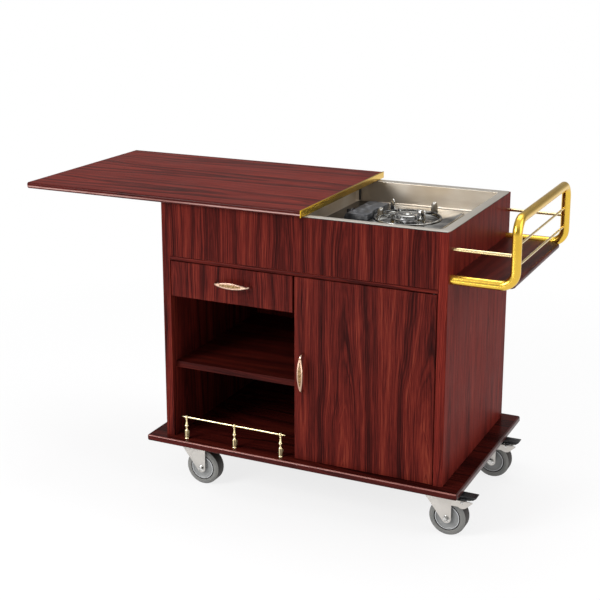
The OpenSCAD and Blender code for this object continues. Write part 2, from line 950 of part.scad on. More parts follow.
// Pressed plate with a raised edge round a drip bowl
module stove_plate() {
    step = plate_step;
    color(steel) difference() {
        union() {
            translate([0, 0, well_floor]) linear_extrude(stove_h - plate_lip)
                round_rect(plate_x0, plate_x1, -stove_d / 2, stove_d / 2, plate_corner);
            translate([0, 0, plate_z - plate_lip]) linear_extrude(plate_lip)
                round_rect(plate_x0 + step, plate_x1 - step,
                    -stove_d / 2 + step, stove_d / 2 - step, plate_corner - step);
            translate([stove_x, 0, plate_z]) cylinder(h = bowl_rise, r = bowl_r + bowl_edge);
        }
        translate([stove_x, 0, plate_z - bowl_deep])
            cylinder(h = bowl_deep + 2 * bowl_rise, r = bowl_r);
        translate([hose_x, -stove_d / 2 - eps, inlet_z]) rotate([-90, 0, 0])
            cylinder(h = inlet_deep + 1, r = inlet_r);
    }
}

// Control housing beside the plate, cut back in a curve round the pan support
module stove_housing() {
    r = 11;
    ring_gap = 3;
    color(grey_plastic) difference() {
        along_y(housing_y0, housing_y1) {
            translate([housing_x0, well_floor])
                square([plate_x0 - housing_x0 - seat_gap, housing_z1 - r - well_floor]);
            translate([housing_x0, plate_z + seat_gap])
                square([housing_x1 - housing_x0, housing_z1 - r - plate_z - seat_gap]);
            translate([housing_x0 + r, plate_z + seat_gap])
                square([housing_x1 - housing_x0 - r, housing_z1 - plate_z - seat_gap]);
            translate([housing_x0 + r, housing_z1 - r]) circle(r);
        }
        translate([stove_x, 0, plate_z - eps]) cylinder(h = 2 * fin_h, r = support_r + ring_gap);
        translate([housing_x0 - eps, knob_y, knob_z]) rotate([0, 90, 0])
            cylinder(h = spindle_l + 2, r = spindle_r + run_gap);
    }
}

// Knob with a skirt, a finger grip and its spindle
module gas_knob() {
    skirt_r = 15;
    skirt_h = 4;
    dome_r = 12;
    dome_h = 11;
    grip_w = 6;
    grip_h = 17;
    color(black) translate([housing_x0 - knob_gap, knob_y, knob_z]) rotate([0, -90, 0]) {
        cylinder(h = skirt_h, r = skirt_r);
        cylinder(h = dome_h, r = dome_r);
        translate([-dome_r, -grip_w / 2, 0]) cube([2 * dome_r, grip_w, grip_h]);
        translate([0, 0, -spindle_l]) cylinder(h = spindle_l + eps, r = spindle_r);
    }
}

burner_z = plate_z - bowl_deep;
burner_h = 15;
port_w = 1.5;
ports = 24;

// Burner body: mixing neck and a ring of flame ports
module burner_body() {
    head_r = burner_r - 3;
    neck_r = 20;
    port_l = 6;
    port_h = 2;
    color(zinc) difference() {
        rotate_extrude_at(stove_x, burner_z) polygon([
            [0, 0], [neck_r, 0], [neck_r, 4], [head_r - 5, 7], [head_r, 8], [head_r, burner_h], [0, burner_h]
        ]);
        translate([stove_x, 0, burner_z + burner_h - port_h]) for (i = [0:ports - 1])
            rotate([0, 0, i * 360 / ports]) translate([head_r - port_l, -port_w / 2, 0])
                cube([2 * port_l, port_w, 2 * port_h]);
    }
}

module rotate_extrude_at(x, z) {
    translate([x, 0, z]) rotate_extrude() children();
}

// Burner cap: a thick disc with a dished top and a round boss
module burner_cap() {
    color(steel) rotate_extrude_at(stove_x, burner_z + burner_h) polygon([
        [0, 0], [burner_r, 0], [burner_r, 3], [burner_r - 3, 5.5], [burner_r - 10, 5.5],
        [burner_r - 14, 4], [9, 4], [6, 6.5], [0, 6.5]
    ]);
}

// One arm of the pan support, seen from the side: a bar with an inner tip and a tall rounded fin
ring_w = 7;
ring_t = 3;
ring_z = plate_z + bowl_rise;
arm_t = 3;
arm_in = burner_r + 5;
arm_turn = 40;

module arm_outline() {
    bar_h = 7;
    fin_w = 20;
    fin_r = 17;
    fin_x = support_r - fin_w;
    top = fin_h - bowl_rise - ring_t;
    translate([arm_in, 0]) square([support_r - arm_in, bar_h]);
    polygon([[arm_in, 0], [arm_in + 14, 0], [arm_in + 9, bar_h + 5], [arm_in + 4, bar_h + 7]]);
    intersection() {
        translate([fin_x + fin_w / 4, top - fin_r]) circle(fin_r);
        translate([fin_x, 0]) square([fin_w, top]);
    }
    translate([fin_x, 0]) square([fin_w, top - fin_r]);
}

module pan_support() {
    color(steel) {
        translate([stove_x, 0, ring_z]) rotate_extrude() translate([support_r - ring_w, 0])
            square([ring_w, ring_t]);
        for (i = [0:3]) translate([stove_x, 0, ring_z + ring_t]) rotate([0, 0, arm_turn + i * 90])
            along_y(-arm_t / 2, arm_t / 2) arm_outline();
    }
}

// Hexagon nut and hose nozzle on the front of the plate
nozzle_r = 4.5;
nozzle_l = 20;
nut_r = 8;
nut_h = 8;

module gas_inlet() {
    color(brass) translate([hose_x, -stove_d / 2, inlet_z]) rotate([90, 0, 0]) {
        translate([0, 0, -inlet_deep]) cylinder(h = inlet_deep, r = inlet_r - socket_gap);
        cylinder(h = nut_h, r = nut_r, $fn = 6);
        translate([0, 0, nut_h]) cylinder(h = nozzle_l, r = nozzle_r);
    }
}

// Castors, drawn with the swivel axis at the origin and the wheel towards +X

axle_z = wheel_d / 2;
axle_r = 6;
washer_t = 1.5;
axle_nut_h = 5;
wheel_gap = 4;
cheek_in = wheel_w / 2 + wheel_gap;
cheek_t = 3;
cheek_out = cheek_in + cheek_t;
axle_boss = 13;
head_h = 22;
crown_z0 = castor_h - head_h;
crown_z1 = crown_z0 + cheek_t;
crown_r = 25;
race_h = 5;
cheek_back = 60;
cheek_x0 = trail - cheek_back;
cheek_x1 = trail + axle_boss;
plate_t = 3;
plate_l = 92;
plate_w = 70;
kingpin_r = 6;
rivet_h = 4;
rivet_side = 3;
bolt_x = 36;
bolt_y = 25;
bolt_r = 4;
bolt_head_h = 5;
bolt_head_side = 3;

// Swivel axes: front left, front right, back left, back right
left_x = -half_w - base_end + inset_left;
right_x = half_w + base_end - inset_right;
front_y = -half_d - base_side + inset_front;
back_y = half_d + base_side - inset_back;
swivels = [[left_x, front_y], [right_x, front_y], [left_x, back_y], [right_x, back_y]];

module at_swivel(i) {
    translate([swivels[i][0], swivels[i][1], 0]) children();
}

// Mounting plate with a ball race cup and a riveted kingpin
module castor_plate() {
    cup_z = crown_z1 + race_h + seat_gap;
    cup_r = crown_r + 1;
    cup_h = castor_h - plate_t - cup_z;
    difference() {
        union() {
            translate([0, 0, castor_h - plate_t]) linear_extrude(plate_t)
                round_rect(-plate_l / 2, plate_l / 2, -plate_w / 2, plate_w / 2, 6);
            translate([0, 0, cup_z]) rotate_extrude()
                polygon([[0, 0], [cup_r - 5, 0], [cup_r, 4], [cup_r, cup_h], [0, cup_h]]);
            translate([0, 0, crown_z0 - rivet_h]) cylinder(h = castor_h - crown_z0, r = kingpin_r);
            translate([0, 0, crown_z0 - rivet_h])
                cylinder(h = rivet_h - seat_gap, r = kingpin_r + rivet_side);
        }
        for (x = [-bolt_x, bolt_x], y = [-bolt_y, bolt_y])
            translate([x, y, castor_h - plate_t - eps])
                cylinder(h = plate_t + 2 * eps, r = bolt_r + seat_gap);
    }
}

module castor_plates() {
    color(zinc) for (i = [0:3]) at_swivel(i) castor_plate();
}

// Hexagon heads with short shanks through the mounting plates
module castor_bolts() {
    color(zinc) for (i = [0:3], x = [-bolt_x, bolt_x], y = [-bolt_y, bolt_y])
        at_swivel(i) translate([x, y, 0]) {
            translate([0, 0, castor_h - plate_t - bolt_head_h])
                cylinder(h = bolt_head_h, r = bolt_r + bolt_head_side, $fn = 6);
            translate([0, 0, castor_h - plate_t]) cylinder(h = plate_t, r = bolt_r);
        }
}

// Point where the fork's slanting edge meets the round end at the axle
edge_dx = cheek_x0 - trail;
edge_dz = crown_z1 - axle_z;
edge_l = sqrt(edge_dx * edge_dx + edge_dz * edge_dz);
edge_turn = atan2(edge_dz, edge_dx) + acos(axle_boss / edge_l);
edge_x = trail + axle_boss * cos(edge_turn);
edge_z = axle_z + axle_boss * sin(edge_turn);

// Cheek of the fork: upright towards the trail, slanting on the other side
module cheek_outline() {
    translate([trail, axle_z]) circle(axle_boss);
    polygon([
        [cheek_x0, crown_z1], [cheek_x1, crown_z1], [cheek_x1, axle_z], [trail, axle_z], [edge_x, edge_z]
    ]);
}

// Ears that carry the brake pedal, each in one plate with its cheek
ear_ahead = 42;
ear_above = 54;
ear_x = trail + ear_ahead;
ear_z = axle_z + ear_above;
ear_r = 18;
ear_reach = 28;
ear_arm = 14;
ear_root = 6;
ear_turn = 40;
pin_r = 3;
rivet_t = 2;
pin_head = 1.5;
shoe_gap = 0.4;

// Round below, level with the crown above, with an arm to the cheek and a blunt tip
module ear_outline() {
    top = crown_z1 - ear_z;
    root = cheek_x1 - ear_x - ear_root;
    translate([ear_x, ear_z]) {
        intersection() {
            circle(ear_r);
            translate([-ear_r, -ear_r]) square([2 * ear_r, ear_r + top]);
        }
        polygon([
            [root, top], [root, -ear_arm], [-sqrt(ear_r * ear_r - ear_arm * ear_arm), -ear_arm],
            [0, 0], [ear_r * cos(ear_turn), -ear_r * sin(ear_turn)], [ear_reach, 1], [ear_reach, top]
        ]);
    }
}

module brake_ears() {
    both_sides() translate([0, cheek_in, 0]) along_y(0, cheek_t) ear_outline();
    translate([ear_x, -cheek_out, ear_z]) rotate([-90, 0, 0]) cylinder(h = 2 * cheek_out, r = pin_r);
    both_sides() translate([ear_x, cheek_out, ear_z]) rotate([-90, 0, 0])
        cylinder(h = rivet_t, r = pin_r + pin_head);
}

// Pressed fork with its ball race, and the axle bolt with head and nut
module fork(brake) {
    difference() {
        union() {
            translate([0, 0, crown_z0]) linear_extrude(crown_z1 - crown_z0) {
                circle(crown_r);
                translate([cheek_x0, -cheek_out]) square([cheek_x1 - cheek_x0, 2 * cheek_out]);
            }
            translate([0, 0, crown_z1]) cylinder(h = race_h, r1 = crown_r - 1, r2 = crown_r - 1 - race_h);
            both_sides() translate([0, cheek_in, 0]) along_y(0, cheek_t) cheek_outline();
            if (brake) brake_ears();
        }
        translate([0, 0, crown_z0 - eps]) cylinder(h = 2 * race_h, r = kingpin_r + run_gap);
    }
    translate([trail, -cheek_in, axle_z]) rotate([-90, 0, 0]) cylinder(h = 2 * cheek_in, r = axle_r);
    both_sides() translate([trail, cheek_out, axle_z]) rotate([-90, 0, 0]) {
        cylinder(h = washer_t, r = axle_r + 3);
        cylinder(h = washer_t + axle_nut_h, r = axle_r + 1.5, $fn = 6);
    }
}

hub_r = 35.5;

// Both halves of a section that is the same on each side, from its upper half
function both_halves(half) =
    concat([for (p = half) [p[0], -p[1]]], [for (i = [len(half) - 1:-1:0]) half[i]]);

// Hub with a boss, a shallow dish in each face and a narrow groove next to the tyre
module hub() {
    w = wheel_w / 2;
    boss_r = 12;
    dish = 1.5;
    dish_r = hub_r - 6;
    groove_w = 1.5;
    groove = 4;
    translate([trail, 0, axle_z]) rotate([90, 0, 0]) rotate_extrude() polygon(both_halves([
        [axle_r + run_gap, cheek_in - seat_gap], [boss_r, cheek_in - seat_gap], [boss_r, w - dish],
        [dish_r - dish, w - dish], [dish_r, w], [hub_r - groove_w, w], [hub_r - groove_w, w - groove],
        [hub_r, w - groove]
    ]));
}

side_fall = 4;
tread_half = wheel_w / 2 - side_fall;

// Tyre whose sidewalls slope back to narrow shoulders at the tread
module tyre() {
    w = wheel_w / 2;
    r = wheel_d / 2;
    shoulder = 2;
    side_flat = 8;
    lip = 1.5;
    translate([trail, 0, axle_z]) rotate([90, 0, 0]) rotate_extrude() {
        polygon(both_halves([
            [hub_r, w - lip], [hub_r + lip, w], [hub_r + side_flat, w],
            [r - shoulder, tread_half], [r, tread_half - shoulder]
        ]));
        for (side = [-1, 1])
            translate([r - shoulder, side * (tread_half - shoulder)]) circle(shoulder);
    }
}

// Brake pedal: a hub on the ears' pin, a shoe above the tread and a foot plate with a sloping tip
module brake_pedal() {
    half_hub = cheek_in - seat_gap;
    half_foot = 14;
    foot_back = 13;
    foot_bend = 25;
    foot_tip = 34;
    foot_t = 9;
    foot_rise = 4;
    tip_t = 2;
    shoe_w = 8;
    shoe_reach = sqrt(pow(ear_ahead, 2) + pow(ear_above, 2)) - wheel_d / 2 - shoe_gap;
    shoe_l = sqrt(shoe_reach * shoe_reach - shoe_w * shoe_w / 4);
    shoe_turn = 256;
    pedal_hub_r = 8;
    difference() {
        translate([ear_x, 0, ear_z]) {
            along_y(-half_hub, half_hub) circle(pedal_hub_r);
            along_y(-tread_half, tread_half) rotate(shoe_turn)
                translate([0, -shoe_w / 2]) square([shoe_l, shoe_w]);
            along_y(-half_foot, half_foot) translate([0, foot_rise]) polygon([
                [-foot_back, 0], [foot_bend, 0], [foot_tip, foot_t - tip_t],
                [foot_tip, foot_t], [-foot_back, foot_t]
            ]);
        }
        translate([ear_x, -half_hub - eps, ear_z]) rotate([-90, 0, 0])
            cylinder(h = 2 * half_hub + 2 * eps, r = pin_r + run_gap);
    }
}

placed() base_plate();
placed() left_side_panel();
placed() right_side_panel();
placed() back_panel();
placed() front_fascia();
placed() deck_board();
placed() middle_partition();
placed() compartment_shelf();
placed() left_top_board();
placed() well_support_board();
placed() stainless_well();
placed() top_guide_rails();
placed() drawer_runner_rails();
placed() door_pivot_bushes();
placed() door_catch();
placed() gallery_posts();
placed() gallery_rail();
placed() push_handle();
placed() side_rods();
placed() end_rods();
placed() side_shelf();
placed() stove_plate();
placed() stove_housing();
placed() burner_body();
placed() burner_cap();
placed() pan_support();
placed() gas_inlet();
placed() castor_plates();
placed() castor_bolts();
placed() top_board();
placed() top_channels();
placed() top_end_strip();
placed() door_panel();
placed() door_pull();
placed() door_pull_inlay();
placed() door_pivot_pins();
placed() door_strike();
placed() drawer_front();
placed() drawer_box();
placed() drawer_bottom();
placed() drawer_pull();
placed() drawer_pull_inlay();
placed() drawer_runner_slides();
placed() gas_knob();
placed() at_swivel(0) color(zinc) fork(false);  // fork_front_left
placed() at_swivel(1) color(zinc) fork(true);  // fork_front_right
placed() at_swivel(2) color(zinc) fork(false);  // fork_back_left
placed() at_swivel(3) color(zinc) fork(true);  // fork_back_right
placed() at_swivel(0) color(grey_plastic) hub();  // hub_front_left
placed() at_swivel(1) color(grey_plastic) hub();  // hub_front_right
placed() at_swivel(2) color(grey_plastic) hub();  // hub_back_left
placed() at_swivel(3) color(grey_plastic) hub();  // hub_back_right
placed() at_swivel(0) color(grey_rubber) tyre();  // tyre_front_left
placed() at_swivel(1) color(grey_rubber) tyre();  // tyre_front_right
placed() at_swivel(2) color(grey_rubber) tyre();  // tyre_back_left
placed() at_swivel(3) color(grey_rubber) tyre();  // tyre_back_right
placed() at_swivel(1) color(black) brake_pedal();  // brake_pedal_front
placed() at_swivel(3) color(black) brake_pedal();  // brake_pedal_back
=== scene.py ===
"""A restaurant trolley in dark red laminate: the wooden top is slid open over a steel well with a gas burner."""
import json
import math

import bmesh
import bpy
from mathutils import Matrix, Vector


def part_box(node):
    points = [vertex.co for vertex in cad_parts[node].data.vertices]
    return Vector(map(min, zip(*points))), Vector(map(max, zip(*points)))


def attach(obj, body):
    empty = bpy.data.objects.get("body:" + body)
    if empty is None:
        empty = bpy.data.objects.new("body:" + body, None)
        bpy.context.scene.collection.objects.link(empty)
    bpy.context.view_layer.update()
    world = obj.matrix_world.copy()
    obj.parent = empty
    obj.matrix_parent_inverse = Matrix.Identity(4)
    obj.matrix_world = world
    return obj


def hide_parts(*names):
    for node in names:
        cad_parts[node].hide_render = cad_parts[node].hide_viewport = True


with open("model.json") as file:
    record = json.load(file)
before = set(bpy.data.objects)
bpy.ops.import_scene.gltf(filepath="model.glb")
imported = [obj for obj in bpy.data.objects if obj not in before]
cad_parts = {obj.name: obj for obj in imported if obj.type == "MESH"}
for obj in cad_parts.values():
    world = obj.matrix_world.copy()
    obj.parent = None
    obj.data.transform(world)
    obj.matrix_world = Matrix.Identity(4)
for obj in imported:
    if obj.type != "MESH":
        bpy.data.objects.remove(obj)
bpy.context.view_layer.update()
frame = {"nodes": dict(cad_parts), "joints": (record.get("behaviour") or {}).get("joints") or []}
pivots = {joint["name"]: Vector(joint["pos_m"]) for joint in frame["joints"] if joint["type"] == "hinge"}
MM = 0.001
WELD = 1e-6               # points closer than this become one
ON_SIDE = 1e-5            # points closer than this to a side lie on it
OVERCUT = 0.1             # how far a cutter reaches past the piece
ROUND_STEPS = 8           # steps in a quarter of a board's round edge
RING_POINTS = 128
AWAY_Y = Vector((0, 1, 0))
UP = Vector((0, 0, 1))


# Mesh helpers

def new_object(name, data):
    made = bpy.data.objects.new(name, data)
    bpy.context.scene.collection.objects.link(made)
    return made


def from_bmesh(name, bm):
    """New object of a built shape, with every face turned outward."""
    bmesh.ops.recalc_face_normals(bm, faces=bm.faces[:])
    mesh = bpy.data.meshes.new(name)
    bm.to_mesh(mesh)
    bm.free()
    return new_object(name, mesh)


def modify(piece, kind, inputs=None, **settings):
    """Runs one modifier and keeps what it makes as the piece's own plain mesh. Inputs are those of a node group."""
    modifier = piece.modifiers.new(kind.lower(), kind)
    for key, value in settings.items():
        setattr(modifier, key, value)
    for item in modifier.node_group.interface.items_tree if inputs else ():
        if item.item_type == "SOCKET" and item.in_out == "INPUT" and item.name in inputs:
            modifier[item.identifier] = inputs[item.name]
    bpy.context.view_layer.update()
    shown = piece.evaluated_get(bpy.context.evaluated_depsgraph_get())
    mesh = bpy.data.meshes.new_from_object(shown)
    piece.modifiers.clear()
    piece.data = mesh


def cut_away(piece, *cutters):
    """Takes closed shapes away from a piece, and removes them."""
    for cutter in cutters:
        modify(piece, "BOOLEAN", operation="DIFFERENCE", solver="EXACT", object=cutter)
        bpy.data.objects.remove(cutter)


def soften(piece, width, segments=2, angle=40):
    """Rounds every edge sharper than the angle."""
    modify(piece, "BEVEL", width=width, segments=segments, limit_method="ANGLE", angle_limit=math.radians(angle))


def smooth(piece, angle=35, flats=False):
    """Smooth shading up to an angle. With flats, large flat faces stay flat up to their edges."""
    mesh = piece.data
    mesh.polygons.foreach_set("use_smooth", [True] * len(mesh.polygons))
    mesh.set_sharp_from_angle(angle=math.radians(angle))
    if flats:
        modify(piece, "WEIGHTED_NORMAL", keep_sharp=True)


def place(piece, slot, finishes, *stands_for, body="cabinet", rule=None):
    """Gives a mesh its finishes, its body and the nodes that it stands for. Its slot is not used.

    The rule gives a face the number of its finish, by its middle and its normal."""
    if finishes:
        piece.data.materials.clear()
        for finish in finishes:
            piece.data.materials.append(finish)
    if rule:
        for face in piece.data.polygons:
            face.material_index = rule(face.center, face.normal)
    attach(piece, body)
    if stands_for:
        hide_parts(*stands_for)


def spot_at(where, turn=0, axis="Z"):
    """Matrix that turns a shape by degrees about an axis and moves it to a place."""
    return Matrix.Translation(where) @ Matrix.Rotation(math.radians(turn), 4, axis)


def box_mesh(bm, lo, hi):
    """Adds a block between two corners and returns its corners."""
    made = bmesh.ops.create_cube(bm, size=1.0)["verts"]
    for v in made:
        v.co = Vector([l + (h - l) * (c + 0.5) for l, h, c in zip(lo, hi, v.co)])
    return made


def block(name, lo, hi, rounded=(), radius=0.0, segments=6):
    """Block between two corners. Its rounded edges are named by their sides: "-x -y" is at low X and low Y."""
    def lies_on(point, sides):
        return all(abs(point["xyz".index(axis)] - {"-": lo, "+": hi}[sign]["xyz".index(axis)]) < ON_SIDE
                   for sign, axis in sides.split())

    bm = bmesh.new()
    box_mesh(bm, lo, hi)
    picked = [e for e in bm.edges if any(lies_on((e.verts[0].co + e.verts[1].co) / 2, sides) for sides in rounded)]
    if picked:
        bmesh.ops.bevel(bm, geom=picked, offset=radius, segments=segments, profile=0.5, affect="EDGES")
    return from_bmesh(name, bm)


def rod(name, start, end, radius, sides=48):
    """Closed round bar between two points."""
    start, end = Vector(start), Vector(end)
    spot = Matrix.Translation((start + end) / 2) @ (end - start).to_track_quat("Z", "Y").to_matrix().to_4x4()
    bm = bmesh.new()
    bmesh.ops.create_cone(bm, cap_ends=True, segments=sides, radius1=radius, radius2=radius,
                          depth=(end - start).length, matrix=spot)
    return from_bmesh(name, bm)


def loft(bm, rings, closed=False):
    """Skins a row of rings of as many points each, and returns its points. Closed joins the last to the first."""
    rows = [[bm.verts.new(p) for p in ring] for ring in rings]
    count = len(rows[0])
    for a, b in zip(rows, rows[1:] + rows[:1] if closed else rows[1:]):
        for i in range(count):
            j = (i + 1) % count
            bm.faces.new((a[i], a[j], b[j], b[i]))
    if not closed:
        bm.faces.new(rows[0][::-1])
        bm.faces.new(rows[-1])
    return [point for row in rows for point in row]


def lofted(name, rings):
    bm = bmesh.new()
    loft(bm, rings)
    return from_bmesh(name, bm)


def lathe(bm, outline, spot=Matrix(), sides=72, closed=False):
    """Turns (radius, height) points in millimetres about Z. An open outline starts and ends on the axis."""
    turns = [2 * math.pi * i / sides for i in range(sides)]
    made = loft(bm, [[spot @ Vector((MM * r * math.cos(a), MM * r * math.sin(a), MM * h)) for a in turns]
                     for r, h in outline], closed)
    bmesh.ops.remove_doubles(bm, verts=made, dist=WELD)


def lathed(name, outline, spot=Matrix(), sides=72, closed=False):
    bm = bmesh.new()
    lathe(bm, outline, spot, sides, closed)
    return from_bmesh(name, bm)


def prism(bm, outline, y0, y1, where=(0, 0, 0), turn=None):
    """Outline of (x, z) points drawn along Y, in millimetres from a place. A matrix may turn it afterwards."""
    made = loft(bm, [[[w + MM * value for w, value in zip(where, (x, y, z))] for x, z in outline] for y in (y0, y1)])
    if turn:
        bmesh.ops.transform(bm, matrix=turn, verts=made)


def arc(cx, cy, radius, start, end, steps):
    """Points on an arc in degrees, both ends included."""
    turns = [math.radians(start + (end - start) * i / steps) for i in range(steps + 1)]
    return [(cx + radius * math.cos(a), cy + radius * math.sin(a)) for a in turns]


def soft_rect(cx, half_x, half_y, corner, z):
    """Ring of points round a rectangle with round corners, spaced by angle from its middle at Y 0."""
    ring = []
    for i in range(RING_POINTS):
        a = 2 * math.pi * (i + 0.5) / RING_POINTS
        dx, dy = math.cos(a), math.sin(a)
        near, far = 0.0, half_x + half_y
        for _ in range(40):
            mid = (near + far) / 2
            over_x, over_y = abs(mid * dx) - half_x, abs(mid * dy) - half_y
            if over_x + corner > 0 and over_y + corner > 0:
                outside = math.hypot(over_x + corner, over_y + corner) > corner
            else:
                outside = max(over_x, over_y) > 0
            near, far = (near, mid) if outside else (mid, far)
        ring.append(Vector((cx + near * dx, near * dy, z)))
    return ring


def round_rect(cx, cy, half_x, half_y, corner, z):
    """Ring of points round a rectangle, with its points in the round corners."""
    ring = []
    for turn, (sx, sy) in enumerate(((1, 1), (-1, 1), (-1, -1), (1, -1))):
        ox, oy = cx + sx * (half_x - corner), cy + sy * (half_y - corner)
        ring += [Vector((x, y, z)) for x, y in arc(ox, oy, corner, 90 * turn, 90 * turn + 90, ROUND_STEPS)]
    return ring


def circle_ring(cx, radius, z):
    turns = [2 * math.pi * (i + 0.5) / RING_POINTS for i in range(RING_POINTS)]
    return [Vector((cx + radius * math.cos(a), radius * math.sin(a), z)) for a in turns]


# Node helpers

def feed(tree, sockets, values):
    """Gives sockets their values: numbers, colours, or the outputs of other nodes."""
    for key, value in values.items():
        if isinstance(value, bpy.types.NodeSocket):
            tree.links.new(value, sockets[key])
        else:
            sockets[key].default_value = value


def add_node(tree, kind, values=None, **settings):
    """Adds a node to a shader or geometry tree, with its settings and its inputs' values."""
    made = tree.nodes.new(tree.bl_idname.replace("Tree", kind))
    for key, value in settings.items():
        setattr(made, key, value)
    feed(tree, made.inputs, values or {})
    return made.outputs


def node_group(family, name, inputs, outputs):
    """New node group from (name, kind) pairs, and its own input and output sockets."""
    tree = bpy.data.node_groups.new(name, family + "NodeTree")
    for in_out, sockets in (("INPUT", inputs), ("OUTPUT", outputs)):
        for label, kind in sockets:
            tree.interface.new_socket(label, in_out=in_out, socket_type="NodeSocket" + kind)
    return tree, tree.nodes.new("NodeGroupInput").outputs, tree.nodes.new("NodeGroupOutput").inputs


def maths(tree, operation, a, b=0.0, c=0.0):
    return add_node(tree, "Math", {0: a, 1: b, 2: c}, operation=operation)[0]


def add_shares(tree, start, *parts):
    """A value plus others, each times its share."""
    for value, share in parts:
        start = maths(tree, "MULTIPLY_ADD", value, share, start)
    return start


def noise(tree, where, scale, detail=2.0, rough=0.5):
    """Noise from 0 to 1. The scale is one number, or one for each axis."""
    if isinstance(scale, tuple):
        where = add_node(tree, "VectorMath", {0: where, 1: scale}, operation="MULTIPLY")[0]
        scale = 1.0
    return add_node(tree, "TexNoise", {"Vector": where, "Scale": scale, "Detail": detail, "Roughness": rough})["Fac"]


def line_noise(tree, value, scale, detail):
    """Noise along one number."""
    return add_node(tree, "TexNoise", {"W": value, "Scale": scale, "Detail": detail}, noise_dimensions="1D")["Fac"]


def cells(tree, where, scale):
    """Distance to the nearest of many scattered points."""
    return add_node(tree, "TexVoronoi", {"Vector": where, "Scale": scale})["Distance"]


def ramp(tree, value, stops):
    made = tree.nodes.new("ShaderNodeValToRGB")
    feed(tree, made.inputs, {0: value})
    band = made.color_ramp
    while len(band.elements) < len(stops):
        band.elements.new(0.5)
    for element, (position, colour) in zip(band.elements, stops):
        element.position = position
        element.color = (*colour, 1.0)
    return made.outputs["Color"]


def remap(tree, value, low, high, new_low=0.0, new_high=1.0):
    return add_node(tree, "MapRange", {"Value": value, "From Min": low, "From Max": high,
                                       "To Min": new_low, "To Max": new_high})["Result"]


MIX_SHARE, MIX_A, MIX_B, MIXED = 0, 6, 7, 2      # a Mix node's colour sockets


def mix_colours(tree, share, a, b):
    a, b = [c if isinstance(c, bpy.types.NodeSocket) else (*c, 1.0) for c in (a, b)]
    return add_node(tree, "Mix", {MIX_SHARE: share, MIX_A: a, MIX_B: b}, data_type="RGBA")[MIXED]


def patches(tree, where, scale, detail, low, a, b):
    """Two colours in slow patches. Low is the noise below which only the first shows."""
    return mix_colours(tree, remap(tree, noise(tree, where, scale, detail), low, 1 - low), a, b)


def bump(tree, height, distance):
    return add_node(tree, "Bump", {"Height": height, "Distance": distance, "Strength": 1.0})["Normal"]


def new_finish(name):
    """New material, its tree, its Principled node's inputs, and the place on the object."""
    finish = bpy.data.materials.new(name)
    finish.use_nodes = True
    tree = finish.node_tree
    return finish, tree, tree.nodes["Principled BSDF"].inputs, add_node(tree, "TexCoord")["Object"]


# Effects that several finishes share

FIGURE_PITCH = 0.105      # half the distance between two arches of the veneer figure
LOG_DEPTH = 0.036         # how deep the heart lies behind the veneer at an arch
LOG_TAPER = 0.030         # how fast the rings close in along the grain
DRIFT = 0.07              # how far the figure wanders sideways
SHAKE = 0.003             # how far a ring wavers
SEED_STEP = 0.31          # how far apart two boards lie in the log
HEART_REACH = 0.055       # how far the heart's darkness reaches
HAIR_WIDTH = 0.036
TONE_MIDDLE = 0.48        # what the tone's parts come to on average


def veneer_figure():
    """Printed veneer: arches, dark hairlines and straight fibres. Place is in metres across and along the grain."""
    tree, given, result = node_group(
        "Shader", "veneer_figure",
        [("Place", "Vector"), ("Seed", "Float"), ("Contrast", "Float"), ("Hair", "Float"), ("Broad", "Float")],
        [("Tone", "Float"), ("Pores", "Float")])
    across, along = add_node(tree, "SeparateXYZ", {0: given["Place"]})[:2]
    seeded = add_node(tree, "CombineXYZ", {0: across, 1: along, 2: given["Seed"]})[0]
    drift = maths(tree, "SUBTRACT", noise(tree, seeded, (5.0, 2.2, 1.0)), 0.5)
    cell = maths(tree, "PINGPONG", add_shares(tree, across, (drift, DRIFT)), FIGURE_PITCH)
    from_heart = maths(tree, "SQRT", add_shares(tree, LOG_DEPTH * LOG_DEPTH, (cell, cell)))
    shake = maths(tree, "SUBTRACT", noise(tree, seeded, (60.0, 9.0, 1.0), 3.0, 0.6), 0.5)
    ring = add_shares(tree, from_heart, (along, LOG_TAPER), (shake, SHAKE), (given["Seed"], SEED_STEP))
    broad = maths(tree, "SUBTRACT", line_noise(tree, ring, 55.0, 2.0), 0.5)
    lines = line_noise(tree, ring, 420.0, 2.0)
    heart = remap(tree, cell, 0.0, HEART_REACH, 1.0, 0.0)
    hair = maths(tree, "ABSOLUTE", maths(tree, "SUBTRACT", line_noise(tree, ring, 120.0, 1.0), 0.5))
    broken = remap(tree, noise(tree, seeded, (30.0, 5.0, 3.0)), 0.38, 0.62)
    hair = maths(tree, "MULTIPLY", remap(tree, hair, 0.0, HAIR_WIDTH, 1.0, 0.0), broken)
    pores = noise(tree, seeded, (620.0, 14.0, 1.0), 2.0, 0.7)
    fibres = noise(tree, seeded, (300.0, 4.5, 1.0), 3.0, 0.7)
    streaks = noise(tree, seeded, (22.0, 1.6, 1.0), 3.0, 0.55)
    tone = add_shares(tree, -TONE_MIDDLE, (broad, given["Broad"]), (lines, 0.20), (pores, 0.26), (fibres, 0.30),
                      (streaks, 0.20))
    dark = add_shares(tree, 0.0, (heart, 0.05), (hair, 0.20))
    dark = maths(tree, "MULTIPLY", dark, given["Hair"])
    feed(tree, result, {"Tone": add_shares(tree, 0.5, (tone, given["Contrast"]), (dark, -1.0)), "Pores": pores})
    return tree


def handling_marks():
    """Faint smears and fine scratches, as a roughness to add and a height."""
    tree, given, result = node_group(
        "Shader", "handling_marks", [("Place", "Vector"), ("Scale", "Float")],
        [("Smear", "Float"), ("Scratch", "Float")])
    where = add_node(tree, "VectorMath", {0: given["Place"], "Scale": given["Scale"]}, operation="SCALE")[0]
    feed(tree, result, {"Smear": remap(tree, noise(tree, where, 14.0, 4.0, 0.6), 0.35, 0.7),
                        "Scratch": noise(tree, where, (260.0, 31.2, 260.0), 3.0, 0.7)})
    return tree


